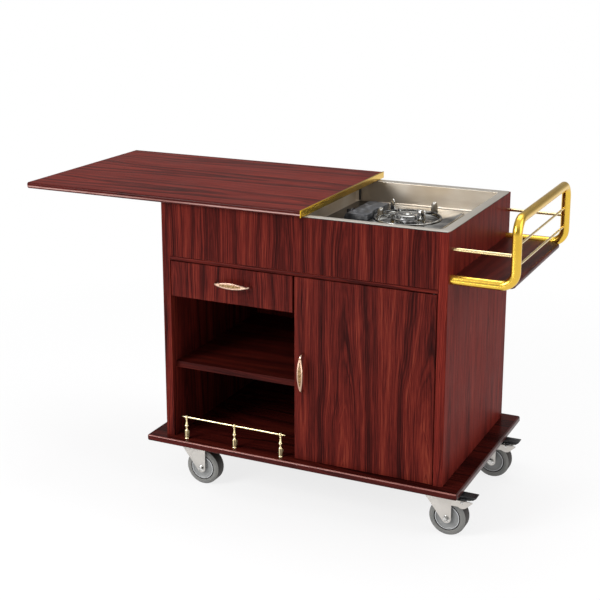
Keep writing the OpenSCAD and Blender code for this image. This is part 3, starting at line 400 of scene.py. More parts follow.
VENEER = veneer_figure()
MARKS = handling_marks()


def marks_on(tree, where, scale=1.0):
    return add_node(tree, "Group", {"Place": where, "Scale": scale}, node_tree=MARKS)


def grey(level):
    return (level, level, level)


RED_TONES = [
    (0.14, (0.014, 0.0024, 0.0022)),
    (0.36, (0.042, 0.0056, 0.0044)),
    (0.50, (0.086, 0.0098, 0.0072)),
    (0.66, (0.136, 0.0175, 0.0110)),
    (0.90, (0.230, 0.0460, 0.0240)),
]
# Colours of the painted highlight lines along the slabs' round edges
EDGE_HIGHLIGHT_TONES = [(0.3, (0.17, 0.055, 0.046)), (0.7, (0.42, 0.19, 0.16))]
TOP_EDGE_HIGHLIGHT_TONES = [(0.3, (0.20, 0.085, 0.072)), (0.7, (0.52, 0.32, 0.285))]


def toned(share):
    return [(position, tuple(share * value for value in colour)) for position, colour in RED_TONES]


def laminate(name, seed, contrast, tones=RED_TONES, rough=0.30, gloss=0.5, hair=1.0, broad=0.38):
    """Dark red wood laminate. Its grain map is laid out in metres, with the grain along V."""
    finish, tree, shader, where = new_finish(name)
    grain_map = add_node(tree, "UVMap", uv_map="grain")["UV"]
    figure = add_node(tree, "Group", {"Place": grain_map, "Seed": seed, "Contrast": contrast, "Hair": hair,
                                      "Broad": broad}, node_tree=VENEER)
    worn = add_shares(tree, rough, (marks_on(tree, where, 0.6)["Smear"], 0.06), (figure["Pores"], 0.05))
    feed(tree, shader, {"Base Color": ramp(tree, figure["Tone"], tones), "Roughness": worn, "IOR": 1.5,
                        "Specular IOR Level": gloss, "Normal": bump(tree, figure["Pores"], 0.05 * MM)})
    return finish


def metal(name, colour, rough, smear=0.08, scratch=0.01 * MM, grain=None, tint=None):
    """Metal with smears and fine scratches. Grain is the scale of a brushed pattern, tint its second colour."""
    finish, tree, shader, where = new_finish(name)
    marks = marks_on(tree, where)
    height = marks["Scratch"]
    worn = add_shares(tree, rough, (marks["Smear"], smear))
    if grain:
        height = noise(tree, where, grain, 3.0, 0.7)
        worn = add_shares(tree, worn, (height, 0.10))
    feed(tree, shader, {"Metallic": 1.0, "Roughness": worn, "Normal": bump(tree, height, scratch),
                        "Base Color": patches(tree, where, 5.0, 3.0, 0.35, tint or colour, colour)})
    return finish


def chromed(name, colour, shade, scale):
    """Polished steel whose colour has dark patches: painted reflections."""
    finish, tree, shader, where = new_finish(name)
    worn = add_shares(tree, 0.08, (marks_on(tree, where)["Smear"], 0.12))
    feed(tree, shader, {"Metallic": 1.0, "Roughness": worn,
                        "Base Color": patches(tree, where, scale, 2.0, 0.36, colour, shade)})
    return finish


def moulded(name, colour, rough, grit_scale, grit_depth, second=None):
    """Plastic or rubber with a fine grit and a slow change of shade."""
    finish, tree, shader, where = new_finish(name)
    worn = add_shares(tree, rough, (marks_on(tree, where, 1.5)["Smear"], 0.10))
    feed(tree, shader, {"Base Color": patches(tree, where, 30.0, 3.0, 0.3, colour, second or colour),
                        "Roughness": worn, "Normal": bump(tree, noise(tree, where, grit_scale), grit_depth * MM)})
    return finish


def speckled_inlay():
    """Golden brown enamel with dark and bright specks."""
    finish, tree, shader, where = new_finish("pull_inlay")
    clouds = noise(tree, where, 240.0, 4.0, 0.7)
    mixed = add_shares(tree, 0.0, (clouds, 0.8), (cells(tree, where, 620.0), 0.5))
    shade = ramp(tree, mixed, [(0.44, (0.045, 0.020, 0.004)), (0.56, (0.120, 0.058, 0.012)),
                               (0.66, (0.20, 0.105, 0.028)), (0.80, (0.40, 0.24, 0.09))])
    feed(tree, shader, {"Base Color": shade, "Roughness": remap(tree, clouds, 0.3, 0.7, 0.18, 0.38),
                        "Specular IOR Level": 0.3, "Coat Weight": 0.15, "Normal": bump(tree, mixed, 0.1 * MM)})
    return finish


def hammered_enamel():
    """Grey enamel with a dimpled surface."""
    finish, tree, shader, where = new_finish("housing_grey")
    patch = noise(tree, where, 60.0, 3.0)
    shade = ramp(tree, patch, [(0.3, (0.030, 0.032, 0.036)), (0.52, (0.058, 0.062, 0.070)),
                               (0.72, (0.17, 0.175, 0.185))])
    feed(tree, shader, {"Base Color": shade, "Roughness": remap(tree, patch, 0.3, 0.7, 0.28, 0.45),
                        "Metallic": 0.35, "Normal": bump(tree, cells(tree, where, 260.0), 0.4 * MM)})
    return finish


def pale_ply():
    """Sealed pale plywood, with its grain along Y."""
    finish, tree, shader, where = new_finish("drawer_wood")
    lines = noise(tree, where, (90.0, 3.0, 90.0), 3.0, 0.6)
    shade = ramp(tree, lines, [(0.3, (0.36, 0.22, 0.11)), (0.5, (0.50, 0.34, 0.18)), (0.7, (0.60, 0.43, 0.25))])
    feed(tree, shader, {"Base Color": shade, "Roughness": remap(tree, lines, 0.3, 0.7, 0.42, 0.55),
                        "Normal": bump(tree, lines, 0.1 * MM)})
    return finish


FRONT_WOOD = laminate("mahogany_front", 0.0, 2.2, gloss=0.03)
DOOR_WOOD = laminate("mahogany_door", 3.0, 2.3, gloss=0.03)
# The side and top boards are lighter copies of the laminate with little gloss: their sheen and the light from above are
# painted into the colour.
SIDE_WOOD_PAINTED_SHEEN = laminate("mahogany_side_painted_sheen", 7.0, 1.7, toned(1.5), rough=0.38, gloss=0.016, hair=0.6, broad=0.08)
TOP_WOOD_PAINTED_SHEEN = laminate("mahogany_top_painted_sheen", 11.0, 1.5, toned(1.35), rough=0.28, gloss=0.018)
BASE_WOOD = laminate("mahogany_base", 17.0, 1.2, toned(0.55), rough=0.20, gloss=0.04)
LONG_EDGE = laminate("mahogany_long_edge", 13.0, 1.0, toned(0.75), rough=0.22, gloss=0.08)
TOP_EDGE_PAINTED_HIGHLIGHT = laminate("top_edge_painted_highlight", 15.0, 1.0, TOP_EDGE_HIGHLIGHT_TONES, rough=0.20, gloss=0.2)
EDGE_PAINTED_HIGHLIGHT = laminate("edge_painted_highlight", 15.0, 1.0, EDGE_HIGHLIGHT_TONES, rough=0.20, gloss=0.2)
END_EDGE = laminate("mahogany_end_edge", 19.0, 1.0, toned(0.6), rough=0.24, gloss=0.3)
SHELF_WOOD = laminate("mahogany_shelf", 23.0, 1.3, toned(0.5), gloss=0.05)
INNER_WOOD = laminate("inner_board", 29.0, 1.1, toned(0.3), gloss=0.1)
BRUSHED_X = (8.0, 260.0, 260.0)
BRUSHED_Y = (60.0, 6.0, 60.0)
GOLD = metal("gold_tube", (0.80, 0.52, 0.075), 0.21, scratch=0.003 * MM, tint=(0.74, 0.46, 0.055))
PALE_BRASS = metal("polished_brass", (0.84, 0.69, 0.38), 0.20, tint=(0.78, 0.61, 0.30))
# Gold for the end strip, with dark patches painted as reflections.
STRIP_GOLD_PAINTED_REFLECTIONS = metal("end_strip_gold_painted_reflections", (0.86, 0.52, 0.036), 0.12, grain=BRUSHED_Y, scratch=0.2 * MM,
                   tint=(0.40, 0.25, 0.018))
POST_BRASS = metal("post_brass", (0.88, 0.74, 0.44), 0.22, tint=(0.84, 0.68, 0.36))
PULL_METAL = metal("pull_metal", (0.64, 0.44, 0.34), 0.20, tint=(0.54, 0.35, 0.25))
# Warm steel whose brown patches are painted blurred reflections.
WELL_STEEL_PAINTED_REFLECTIONS = metal("well_steel", (0.70, 0.655, 0.59), 0.30, grain=BRUSHED_X, scratch=0.04 * MM,
                   tint=(0.52, 0.43, 0.32))
RIM_STEEL = metal("rim_steel", (0.36, 0.335, 0.30), 0.5, grain=BRUSHED_X, scratch=0.05 * MM)
# Darker steel for the well's floor: painted shade.
WELL_FLOOR_PAINTED_SHADE = metal("well_floor_painted_shade", (0.46, 0.44, 0.41), 0.24, grain=BRUSHED_X, scratch=0.04 * MM,
                    tint=(0.16, 0.15, 0.14))
# Stove and bolt steel carry dark patches painted as reflections.
STOVE_STEEL_PAINTED_REFLECTIONS = chromed("stove_steel", (0.58, 0.58, 0.56), grey(0.10), 15.0)
BOLT_STEEL_PAINTED_REFLECTIONS = chromed("bolt_steel_painted_reflections", (0.86, 0.85, 0.83), (0.28, 0.275, 0.26), 260.0)
ALLOY = metal("burner_alloy", (0.42, 0.42, 0.43), 0.36, smear=0.12)
ZINC = metal("zinc", (0.64, 0.605, 0.565), 0.40, smear=0.16, tint=(0.50, 0.485, 0.46))
# Near-black for the cheeks' front edges: painted shade of the gap beside the wheel.
CHEEK_EDGE_SHADE = metal("cheek_edge_painted_shade", grey(0.10), 0.5)
HOUSING = hammered_enamel()
INLAY = speckled_inlay()
PLY = pale_ply()
HUB_GREY = moulded("hub_plastic", (0.20, 0.203, 0.20), 0.36, 500.0, 0.03, (0.24, 0.243, 0.24))
TYRE_GREY = moulded("tyre_rubber", (0.150, 0.153, 0.147), 0.48, 350.0, 0.06, (0.19, 0.185, 0.172))
SLOT_SHADE = moulded("slot_shade", (0.10, 0.060, 0.018), 0.5, 500.0, 0.03)
DARK_PIN = moulded("dark_pin", (0.02, 0.018, 0.018), 0.4, 500.0, 0.03)
# Near-black rubber for the tread, darkened partly as painted shade, and for the groove between hub and tyre as painted
# shade.
TREAD_AND_GROOVE_SHADE = moulded("tread_rubber_and_painted_shade", (0.016, 0.012, 0.010), 0.6, 350.0, 0.06, (0.026, 0.020, 0.016))
# Light grey ring near the hub's rim: a painted highlight.
HUB_RIM_HIGHLIGHT = moulded("hub_rim_painted_highlight", (0.50, 0.51, 0.52), 0.3, 500.0, 0.03, (0.60, 0.61, 0.62))
BLACK = moulded("black_plastic", (0.010, 0.010, 0.012), 0.32, 600.0, 0.04, (0.016, 0.016, 0.019))
CATCH_GREY = moulded("catch_plastic", grey(0.25), 0.5, 500.0, 0.04)
# Near-black for painted shade in gaps: the well's outer side and a strip in its back left corner.
GAP_SHADE = moulded("painted_gap_shade", grey(0.006), 0.6, 300.0, 0.05)


# Boards

ARCH_LEFT = -0.124        # where the first arch of the fascia stands
ARCH_DOOR = 0.264         # where the door's left arch stands
BOARD_EDGE = 0.8 * MM     # how far an edge is eased
FRONT_EDGE = 0.5 * MM
NOSE_R = 5.4 * MM         # round front edge of the deck
PANEL_R = 2.9 * MM
FRONT_R = 2.5 * MM
SHELF_SPARE = 80 * MM     # two slabs are built longer by this much, and then cut off square
TOP_SPARE = 50 * MM
GROOVE_WIDE = 22 * MM
SOCKET_ROOM = 0.1 * MM    # how much wider a socket is than what it holds
FLAT = 0.97               # a face whose normal has this much of Z in it counts as lying flat


def lay_grain(piece, along, start=(0.0, 0.0), stretch=1.0):
    """Lays the veneer on every face, with the grain along one axis. Start is where the figure begins."""
    mesh = piece.data
    axis = "xyz".index(along)
    layer = mesh.uv_layers.new(name="grain")
    for face in mesh.polygons:
        flat = max(range(3), key=lambda i: abs(face.normal[i]))
        across = min(i for i in range(3) if i not in (flat, axis))
        for loop in face.loop_indices:
            co = mesh.vertices[mesh.loops[loop].vertex_index].co
            layer.data[loop].uv = ((co[across] - start[0]) * stretch, co[axis] - start[1])


def board(node, name, along, finish, start, stretch=1.0, body="cabinet", slot="mahogany", edge=BOARD_EDGE,
          rounded=(), radius=0.0, cutters=()):
    """Laminate board in a node's place, with eased edges, and rounder ones on the named sides."""
    piece = block(name, *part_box(node), rounded, radius)
    cut_away(piece, *cutters)
    soften(piece, edge)
    smooth(piece, flats=True)
    lay_grain(piece, along, start, stretch)
    place(piece, slot, [finish], node, body=body)


TUBE_LO, TUBE_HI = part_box("push_handle")
TUBE_R = 12.5 * MM
TUBE_BEND = 38 * MM
LEG_Y, LEG_Z = TUBE_HI.y - TUBE_R, TUBE_LO.z + TUBE_R
BAR_Z, UPRIGHT_X = TUBE_HI.z - TUBE_R, TUBE_HI.x - TUBE_R
PLATE_LO, PLATE_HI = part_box("stove_plate")
BURNER_X = (PLATE_LO.x + PLATE_HI.x) / 2
WELL_FLOOR = PLATE_LO.z
HOSE_AHEAD = 65 * MM      # how far in front of the stove plate the hose goes down


def hose_cut(z0, z1, radius):
    """Cutter for a hole that the hose passes through, in front of the burner."""
    lo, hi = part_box("gas_inlet")
    spot = Vector(((lo.x + hi.x) / 2, PLATE_LO.y - HOSE_AHEAD, 0))
    return rod("hose_cut", spot + z0 * UP, spot + z1 * UP, radius)


def make_carcass():
    """The cabinet's fixed boards. The right one has sockets for the handle's legs and rods."""
    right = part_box("right_side_panel")[1].x
    rod_lo, rod_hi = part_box("side_rods")
    rod_z, rod_r = (rod_hi.z + rod_lo.z) / 2, (rod_hi.z - rod_lo.z) / 2
    sockets = [rod("socket", (TUBE_LO.x, side * LEG_Y, z), (right + 10 * MM, side * LEG_Y, z), radius + SOCKET_ROOM)
               for side in (-1, 1) for z, radius in ((LEG_Z, TUBE_R), (rod_z, rod_r))]
    board("left_side_panel", "left_side_board", "z", FRONT_WOOD, (-0.2, 0.1), edge=FRONT_EDGE,
          rounded=["-x -y"], radius=PANEL_R)
    board("right_side_panel", "right_side_board", "z", SIDE_WOOD_PAINTED_SHEEN, (0.10, 0.15), 1.3, edge=FRONT_EDGE,
          rounded=["+x -y"], radius=PANEL_R, cutters=sockets)
    board("back_panel", "back_board", "z", SIDE_WOOD_PAINTED_SHEEN, (0.05, 0.2), 1.7)
    board("front_fascia", "fascia_board", "z", FRONT_WOOD, (ARCH_LEFT, 0.02), 1.055)
    board("deck_board", "nosed_deck", "x", FRONT_WOOD, (0.0, 0.15), rounded=["-y -z", "-y +z"], radius=NOSE_R,
          cutters=[hose_cut(0.6, 0.7, 12 * MM)])
    for node, name, along, finish, start in (
            ("middle_partition", "partition_board", "z", INNER_WOOD, (0.4, 0.0)),
            ("compartment_shelf", "inner_shelf", "x", SHELF_WOOD, (0.1, 0.4)),
            ("left_top_board", "rail_board", "x", INNER_WOOD, (0.2, 0.1)),
            ("well_support_board", "rim_support", "z", INNER_WOOD, (0.3, 0.6))):
        board(node, name, along, finish, start, slot="inner_board")


def make_fronts():
    """Door and drawer front, with round upright edges."""
    upright = {"edge": FRONT_EDGE, "rounded": ["-x -y", "+x -y"], "radius": FRONT_R}
    board("door_panel", "door_board", "z", DOOR_WOOD, (ARCH_DOOR, 0.0), 0.89, body="door", **upright)
    board("drawer_front", "drawer_board", "z", FRONT_WOOD, (-0.03, 0.31), body="drawer", **upright)


def rounded_slab(name, lo, hi, corner, r, along, start, cutters=(), seam=None):
    """Laminate board lying flat, with edges rounded above and below. Seam is a height in its edge."""
    mid, half = (lo + hi) / 2, (hi - lo) / 2
    profile = arc(r, lo.z + r, r, 270, 180, ROUND_STEPS) + ([(0.0, lo.z + seam)] if seam else [])
    profile += arc(r, hi.z - r, r, 180, 90, ROUND_STEPS)
    piece = lofted(name, [round_rect(mid.x, mid.y, half.x - inset, half.y - inset, corner - inset, z)
                          for inset, z in profile])
    cut_away(piece, *cutters)
    smooth(piece, 50, flats=True)
    lay_grain(piece, along, start)
    return piece


def end_cut(x0, x1, lo, hi):
    """Cutter for all of a board between two places along X."""
    return block("end_cut", (x0, lo.y - OVERCUT, lo.z - OVERCUT), (x1, hi.y + OVERCUT, hi.z + OVERCUT))


def edge_finish(highlight_low, highlight_high):
    """Rule for a slab: 0 its faces, 1 its long edges, 2 a painted highlight line between two heights of them, 3 its
    ends.
    """
    def rule(middle, normal):
        if abs(normal.z) > FLAT:
            return 0
        if abs(normal.x) > abs(normal.y):
            return 3
        return 2 if highlight_low < middle.z < highlight_high else 1
    return rule


def make_slabs():
    """The shelf between the handle's legs, the base board, and the sliding top with grooves for its channels."""
    lo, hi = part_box("side_shelf")
    piece = rounded_slab("handle_shelf", Vector((lo.x - SHELF_SPARE, lo.y, lo.z)), hi, 16 * MM, 6.5 * MM,
                         "y", (0.5, 0.2), [end_cut(lo.x - 2 * OVERCUT, lo.x, lo, hi)])
    place(piece, "mahogany", [SHELF_WOOD, LONG_EDGE], "side_shelf",
          rule=lambda middle, normal: int(normal.x > 0.3))
    lo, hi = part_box("base_plate")
    piece = rounded_slab("base_board", lo, hi, 6 * MM, 5 * MM, "x", (0.12, 0.3))
    # A painted highlight line runs just under the base's top rounding.
    place(piece, "mahogany", [BASE_WOOD, LONG_EDGE, EDGE_PAINTED_HIGHLIGHT, END_EDGE], "base_plate",
          rule=edge_finish(hi.z - 3.2 * MM, hi.z - 0.3 * MM))
    lo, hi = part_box("top_board")
    cutters = [end_cut(hi.x, hi.x + 2 * OVERCUT, lo, hi)]
    groove_lo, groove_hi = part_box("top_channels")
    for side in (-1, 1):
        y0, y1 = sorted((side * groove_hi.y, side * (groove_hi.y - GROOVE_WIDE)))
        cutters.append(block("groove_cut", (groove_lo.x, y0, lo.z - 10 * MM), (groove_hi.x, y1, groove_hi.z)))
    piece = rounded_slab("sliding_board", lo, Vector((hi.x + TOP_SPARE, hi.y, hi.z)), 7 * MM, 6 * MM,
                         "x", (0.02, 0.55), cutters, seam=8.6 * MM)
    # A painted highlight line runs along the middle of the top's edge.
    place(piece, "mahogany", [TOP_WOOD_PAINTED_SHEEN, LONG_EDGE, TOP_EDGE_PAINTED_HIGHLIGHT, END_EDGE], "top_board", body="sliding_top",
          rule=edge_finish(lo.z + 5.0 * MM, lo.z + 8.5 * MM))


def make_end_strip():
    """Brass strip over the top's cut end, rounded on its outer side."""
    piece = block("end_strip", *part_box("top_end_strip"), ["+x"], 2.4 * MM, 5)
    smooth(piece, 50)
    place(piece, "gold_tube", [STRIP_GOLD_PAINTED_REFLECTIONS], "top_end_strip", body="sliding_top")


# Geometry nodes: tubes along paths, and shapes set on points

def finished(tree, geometry, given, result):
    """Ends a tree with real geometry that has the given finish."""
    real = add_node(tree, "RealizeInstances", {"Geometry": geometry})[0]
    feed(tree, result, {"Geometry": add_node(tree, "SetMaterial", {"Geometry": real, "Material": given["Finish"]})[0]})
    return tree


def tube_tree():
    """A chain of edges becomes a round tube with its corners bent to a radius."""
    tree, given, result = node_group(
        "Geometry", "bent_tube",
        [("Geometry", "Geometry"), ("Tube Radius", "Float"), ("Bend Radius", "Float"), ("Sides", "Int"),
         ("Finish", "Material")], [("Geometry", "Geometry")])
    curve = add_node(tree, "MeshToCurve", {"Mesh": given["Geometry"]})["Curve"]
    bent = add_node(tree, "FilletCurve", {"Curve": curve, "Radius": given["Bend Radius"], "Count": 14}, mode="POLY")[0]
    circle = add_node(tree, "CurvePrimitiveCircle", {"Resolution": given["Sides"], "Radius": given["Tube Radius"]})[0]
    swept = add_node(tree, "CurveToMesh", {"Curve": bent, "Profile Curve": circle, "Fill Caps": True})["Mesh"]
    return finished(tree, swept, given, result)


def repeat_tree():
    """One shape is set on every point, turned by the point's own angles."""
    tree, given, result = node_group(
        "Geometry", "set_on_points", [("Geometry", "Geometry"), ("Shape", "Object"), ("Finish", "Material")],
        [("Geometry", "Geometry")])
    shape = add_node(tree, "ObjectInfo", {"Object": given["Shape"]})["Geometry"]
    turn = add_node(tree, "InputNamedAttribute", {"Name": "turn"}, data_type="FLOAT_VECTOR")["Attribute"]
    spread = add_node(tree, "InstanceOnPoints", {"Points": given["Geometry"], "Instance": shape, "Rotation": turn})
    return finished(tree, spread["Instances"], given, result)


TUBES = tube_tree()
REPEATS = repeat_tree()


def tube_piece(name, paths, radius, bend, finish, sides):
    """Round tubes along paths of corner points."""
    mesh = bpy.data.meshes.new(name)
    points, edges = [], []
    for path in paths:
        first = len(points)
        points += path
        edges += [(first + i, first + i + 1) for i in range(len(path) - 1)]
    mesh.from_pydata(points, edges, [])
    piece = new_object(name, mesh)
    modify(piece, "NODES", {"Tube Radius": radius, "Bend Radius": bend, "Sides": sides, "Finish": finish},
           node_group=TUBES)
    bm = bmesh.new()
    bm.from_mesh(piece.data)
    bmesh.ops.remove_doubles(bm, verts=bm.verts[:], dist=WELD)
    bmesh.ops.recalc_face_normals(bm, faces=bm.faces[:])
    bm.to_mesh(piece.data)
    bm.free()
    smooth(piece, 50)
    return piece


def repeated(name, shape, points, finish, turns=None):
    """Copies of a shape at points, each turned by its own angles, as one plain mesh. The shape is removed."""
    mesh = bpy.data.meshes.new(name)
    mesh.from_pydata(points, [], [])
    angles = mesh.attributes.new("turn", "FLOAT_VECTOR", "POINT")
    angles.data.foreach_set("vector", [value for turn in turns or [(0, 0, 0)] * len(points) for value in turn])
    piece = new_object(name, mesh)
    modify(piece, "NODES", {"Shape": shape, "Finish": finish}, node_group=REPEATS)
    bpy.data.objects.remove(shape)
    smooth(piece)
    return piece


def make_handle():
    """One bent tube, with its side rods and end rods."""
    half = [(TUBE_LO.x, -LEG_Y, LEG_Z), (UPRIGHT_X, -LEG_Y, LEG_Z), (UPRIGHT_X, -LEG_Y, BAR_Z)]
    path = half + [(x, -y, z) for x, y, z in reversed(half)]
    piece = tube_piece("handle_tube", [path], TUBE_R, TUBE_BEND, GOLD, 48)
    place(piece, "gold_tube", None, "push_handle")
    into_tube = TUBE_R * 0.9
    lo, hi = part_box("side_rods")
    z = (hi.z + lo.z) / 2
    paths = [[(lo.x, side * LEG_Y, z), (UPRIGHT_X - into_tube, side * LEG_Y, z)] for side in (-1, 1)]
    piece = tube_piece("handle_side_rods", paths, (hi.z - lo.z) / 2, 0.0, PALE_BRASS, 24)
    place(piece, "polished_brass", None, "side_rods")
    lo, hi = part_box("end_rods")
    radius = (hi.x - lo.x) / 2
    paths = [[(UPRIGHT_X, into_tube - LEG_Y, z), (UPRIGHT_X, LEG_Y - into_tube, z)]
             for z in (lo.z + radius, hi.z - radius)]
    piece = tube_piece("handle_end_rods", paths, radius, 0.0, PALE_BRASS, 24)
    place(piece, "polished_brass", None, "end_rods")


# Gallery rail. Outlines are in millimetres from here on.

POST_FOOT = 7.5           # radius
POST_PITCH = 153.0        # distance from the left post to the middle one
BALL_R = 5.95
SLOT_LOW, SLOT_HIGH = 5.5, 24.5
SLOT_AWAY = 6.8           # distance of a slot's middle from the post's axis


def post_outline(ball_z):
    """Turned post from its foot to its ball, as (radius, height)."""
    foot = [(0, 0), (7.0, 0), (POST_FOOT, 0.5), (POST_FOOT, 1.6), (7.1, 2.1), (6.6, 2.6), (6.3, 3.4)]
    drum = [(6.2, 5.0), (6.2, 24.5), (6.1, 25.6), (5.6, 26.7), (4.8, 27.5), (4.0, 28.2), (3.7, 29.0)]
    waist = [(3.55, 30.4), (3.7, 31.8), (4.2, 33.0), (4.9, 35.0), (5.6, 37.2)]
    bead = [(6.05, 38.6), (6.2, 39.6), (6.05, 40.6), (5.5, 41.4), (4.8, 42.2), (4.4, 43.4)]
    neck = [(4.0, 45.2), (3.3, 48.6), (2.85, 51.6), (2.65, 54.2), (2.9, 55.2), (3.3, 56.0), (3.4, 57.2), (3.2, 58.2)]
    ball = arc(0, ball_z, BALL_R, -62, 88, 16)
    return foot + drum + waist + bead + neck + ball + [(0, ball_z + BALL_R)]


def make_gallery():
    """Three posts with slotted drums, and a rail whose ends run out to points."""
    lo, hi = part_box("gallery_posts")
    rail_lo, rail_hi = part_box("gallery_rail")
    rail = (rail_lo + rail_hi) / 2
    post = lathed("post_shape", post_outline((rail.z - lo.z) / MM), sides=60)
    slots = []
    for turn in range(0, 360, 60):
        x, y = SLOT_AWAY * MM * math.cos(math.radians(turn)), SLOT_AWAY * MM * math.sin(math.radians(turn))
        slots.append(rod("slot_cut", (x, y, SLOT_LOW * MM), (x, y, SLOT_HIGH * MM), 2 * MM, 20))
    cut_away(post, *slots)
    soften(post, 0.25 * MM, 1, 50)
    post_x = [lo.x + POST_FOOT * MM, lo.x + (POST_FOOT + POST_PITCH) * MM, hi.x - POST_FOOT * MM]
    piece = repeated("turned_posts", post, [(x, rail.y, lo.z) for x in post_x], POST_BRASS)

    def slot_finish(middle, normal):
        away = min(math.hypot(middle.x - x, middle.y - rail.y) for x in post_x) / MM
        return int(SLOT_LOW - 0.1 < (middle.z - lo.z) / MM < SLOT_HIGH + 0.1 and away < 5.95)

    place(piece, "polished_brass", [POST_BRASS, SLOT_SHADE], "gallery_posts", rule=slot_finish)
    length = (rail_hi.x - rail_lo.x) / MM
    tip = [(0, 0), (0.5, 0), (0.8, 0.3), (2.45, 7), (2.5, 7.6)]
    piece = lathed("gallery_bar", tip + [(r, length - x) for r, x in reversed(tip)],
                   spot_at((rail_lo.x, rail.y, rail.z), 90, "Y"), 32)
    smooth(piece, 25)
    place(piece, "polished_brass", [POST_BRASS], "gallery_rail")


# Bow pulls

BOW_END = 55.0            # half the pull's length at its feet
BOW_OUT = 24.0            # how far it stands out
BOW_ARC = 300.0           # radius of its outer face
BOW_BEND = 14.0           # radius of the bends down to its feet
BOW_T = 4.0               # thickness
BOW_LEAF = (57.0, 8.5)    # half length and half width of the leaf that its outline follows
BED_LEAF = (40.0, 4.5)    # the same for the bed that holds the inlay
INLAY_END = 33.0          # half the inlay's length
BED_DEEP = 1.2
DIMPLE_AT = 40.0          # distance of the dimples from the middle


def leaf_width(x, half_length, half_width):
    """Half width of a leaf between two arcs."""
    r = (half_length ** 2 + half_width ** 2) / (2 * half_width)
    return math.sqrt(max(r * r - x * x, 0)) - (r - half_width)


def bed_width(x):
    """Half width of the bed that holds the inlay."""
    return leaf_width(x, *BED_LEAF)


def bow_spots():
    """Points along the bow's outer face from foot to foot, each with its outward direction."""
    bend_x = BOW_END - BOW_BEND
    bend_y = BOW_ARC - BOW_OUT - math.sqrt((BOW_ARC - BOW_BEND) ** 2 - bend_x ** 2)
    turn = math.asin(bend_x / (BOW_ARC - BOW_BEND))
    half = []
    for x in (0, 4, 8, 12, 16, 20, 24, 28, 31.3, 32.9, 33.0, 33.1, 35, 37, 38.6, 40, 41.4):
        a = math.asin(x / BOW_ARC)
        half.append((Vector((x, BOW_ARC * (1 - math.cos(a)) - BOW_OUT)), a))
    for i in range(1, 13):
        a = turn + (math.pi / 2 - turn) * i / 12
        half.append((Vector((bend_x + BOW_BEND * math.sin(a), bend_y - BOW_BEND * math.cos(a))), a))
    half.append((Vector((BOW_END, 0.0)), math.pi / 2))
    spots = [(spot, Vector((math.sin(a), -math.cos(a)))) for spot, a in half]
    return [(Vector((-s.x, s.y)), Vector((-o.x, o.y))) for s, o in reversed(spots[1:])] + spots


def bow_section(spot, outward, section):
    """Ring of a section's points: each a place across the bow and a depth under its outer face."""
    return [MM * Vector((*(spot - outward * deep), wide)) for wide, deep in section]


def bow_rings():
    """Bow that widens into a leaf, with a sunk bed for its inlay and round bends down to the front."""
    rings = []
    for spot, outward in bow_spots():
        wide = max(leaf_width(spot.x, *BOW_LEAF), 2.5)
        bed = min(max(bed_width(spot.x), 1.0), wide - 1.1)
        deep = BED_DEEP if abs(spot.x) < INLAY_END - 0.01 else 0.0
        half = [(wide - 0.7, BOW_T), (wide - 0.2, BOW_T - 0.2), (wide, BOW_T - 0.7), (wide, 1.0),
                (wide - 0.3, 0.3), (wide - 0.9, 0), (bed + 0.05, 0), (bed, deep * 0.1), (bed, deep)]
        rings.append(bow_section(spot, outward, half + [(-x, d) for x, d in reversed(half)]))
    return rings


def inlay_rings():
    """Crowned leaf with blunt ends that lies a little below the bow's rim."""
    rings = []
    for spot, outward in bow_spots():
        if abs(spot.x) <= INLAY_END - 1.6:
            half = bed_width(spot.x) - 0.1
            crown = [(half * k, 0.65 - 0.3 * (1 - k * k)) for k in (-1, -0.7, -0.35, 0, 0.35, 0.7, 1)]
            rings.append(bow_section(spot, outward, [(-half, BED_DEEP)] + crown + [(half, BED_DEEP)]))
    return rings


def sunk_in_bow(at):
    """1 for a face in the inlay's bed or in a dimple, 0 for the rest of the bow."""
    x, z = abs(at.x), abs(at.z)
    deep = at.y - (BOW_ARC - BOW_OUT - math.sqrt(BOW_ARC ** 2 - x * x))
    in_bed = x < INLAY_END + 0.05 and z < bed_width(x) + 0.02
    return int(0.25 < deep < 1.4 and (in_bed or math.hypot(x - DIMPLE_AT, z) < 1.35))


def make_pull(node, body, upright):
    """A bow and its inlay on the door or on the drawer front."""
    lo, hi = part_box(node)
    spot = spot_at(((lo.x + hi.x) / 2, hi.y, (lo.z + hi.z) / 2), 90 if upright else 0, "Y")
    bow = lofted(node.replace("pull", "bow"), bow_rings())
    cut_away(bow, *[rod("dimple_cut", (x * MM, (BED_DEEP - BOW_OUT) * MM, 0), (x * MM, -30 * MM, 0), 1.3 * MM, 24)
                    for x in (-DIMPLE_AT, DIMPLE_AT)])
    leaf = lofted(node.replace("pull", "leaf"), inlay_rings())
    for piece in (bow, leaf):
        piece.data.transform(spot)
        smooth(piece, 40)
    place(bow, "polished_brass", [PULL_METAL, SLOT_SHADE], node, body=body,
          rule=lambda middle, normal: sunk_in_bow(spot.inverted() @ middle / MM))
    place(leaf, "pull_inlay", [INLAY], node + "_inlay", body=body)


# Steel well

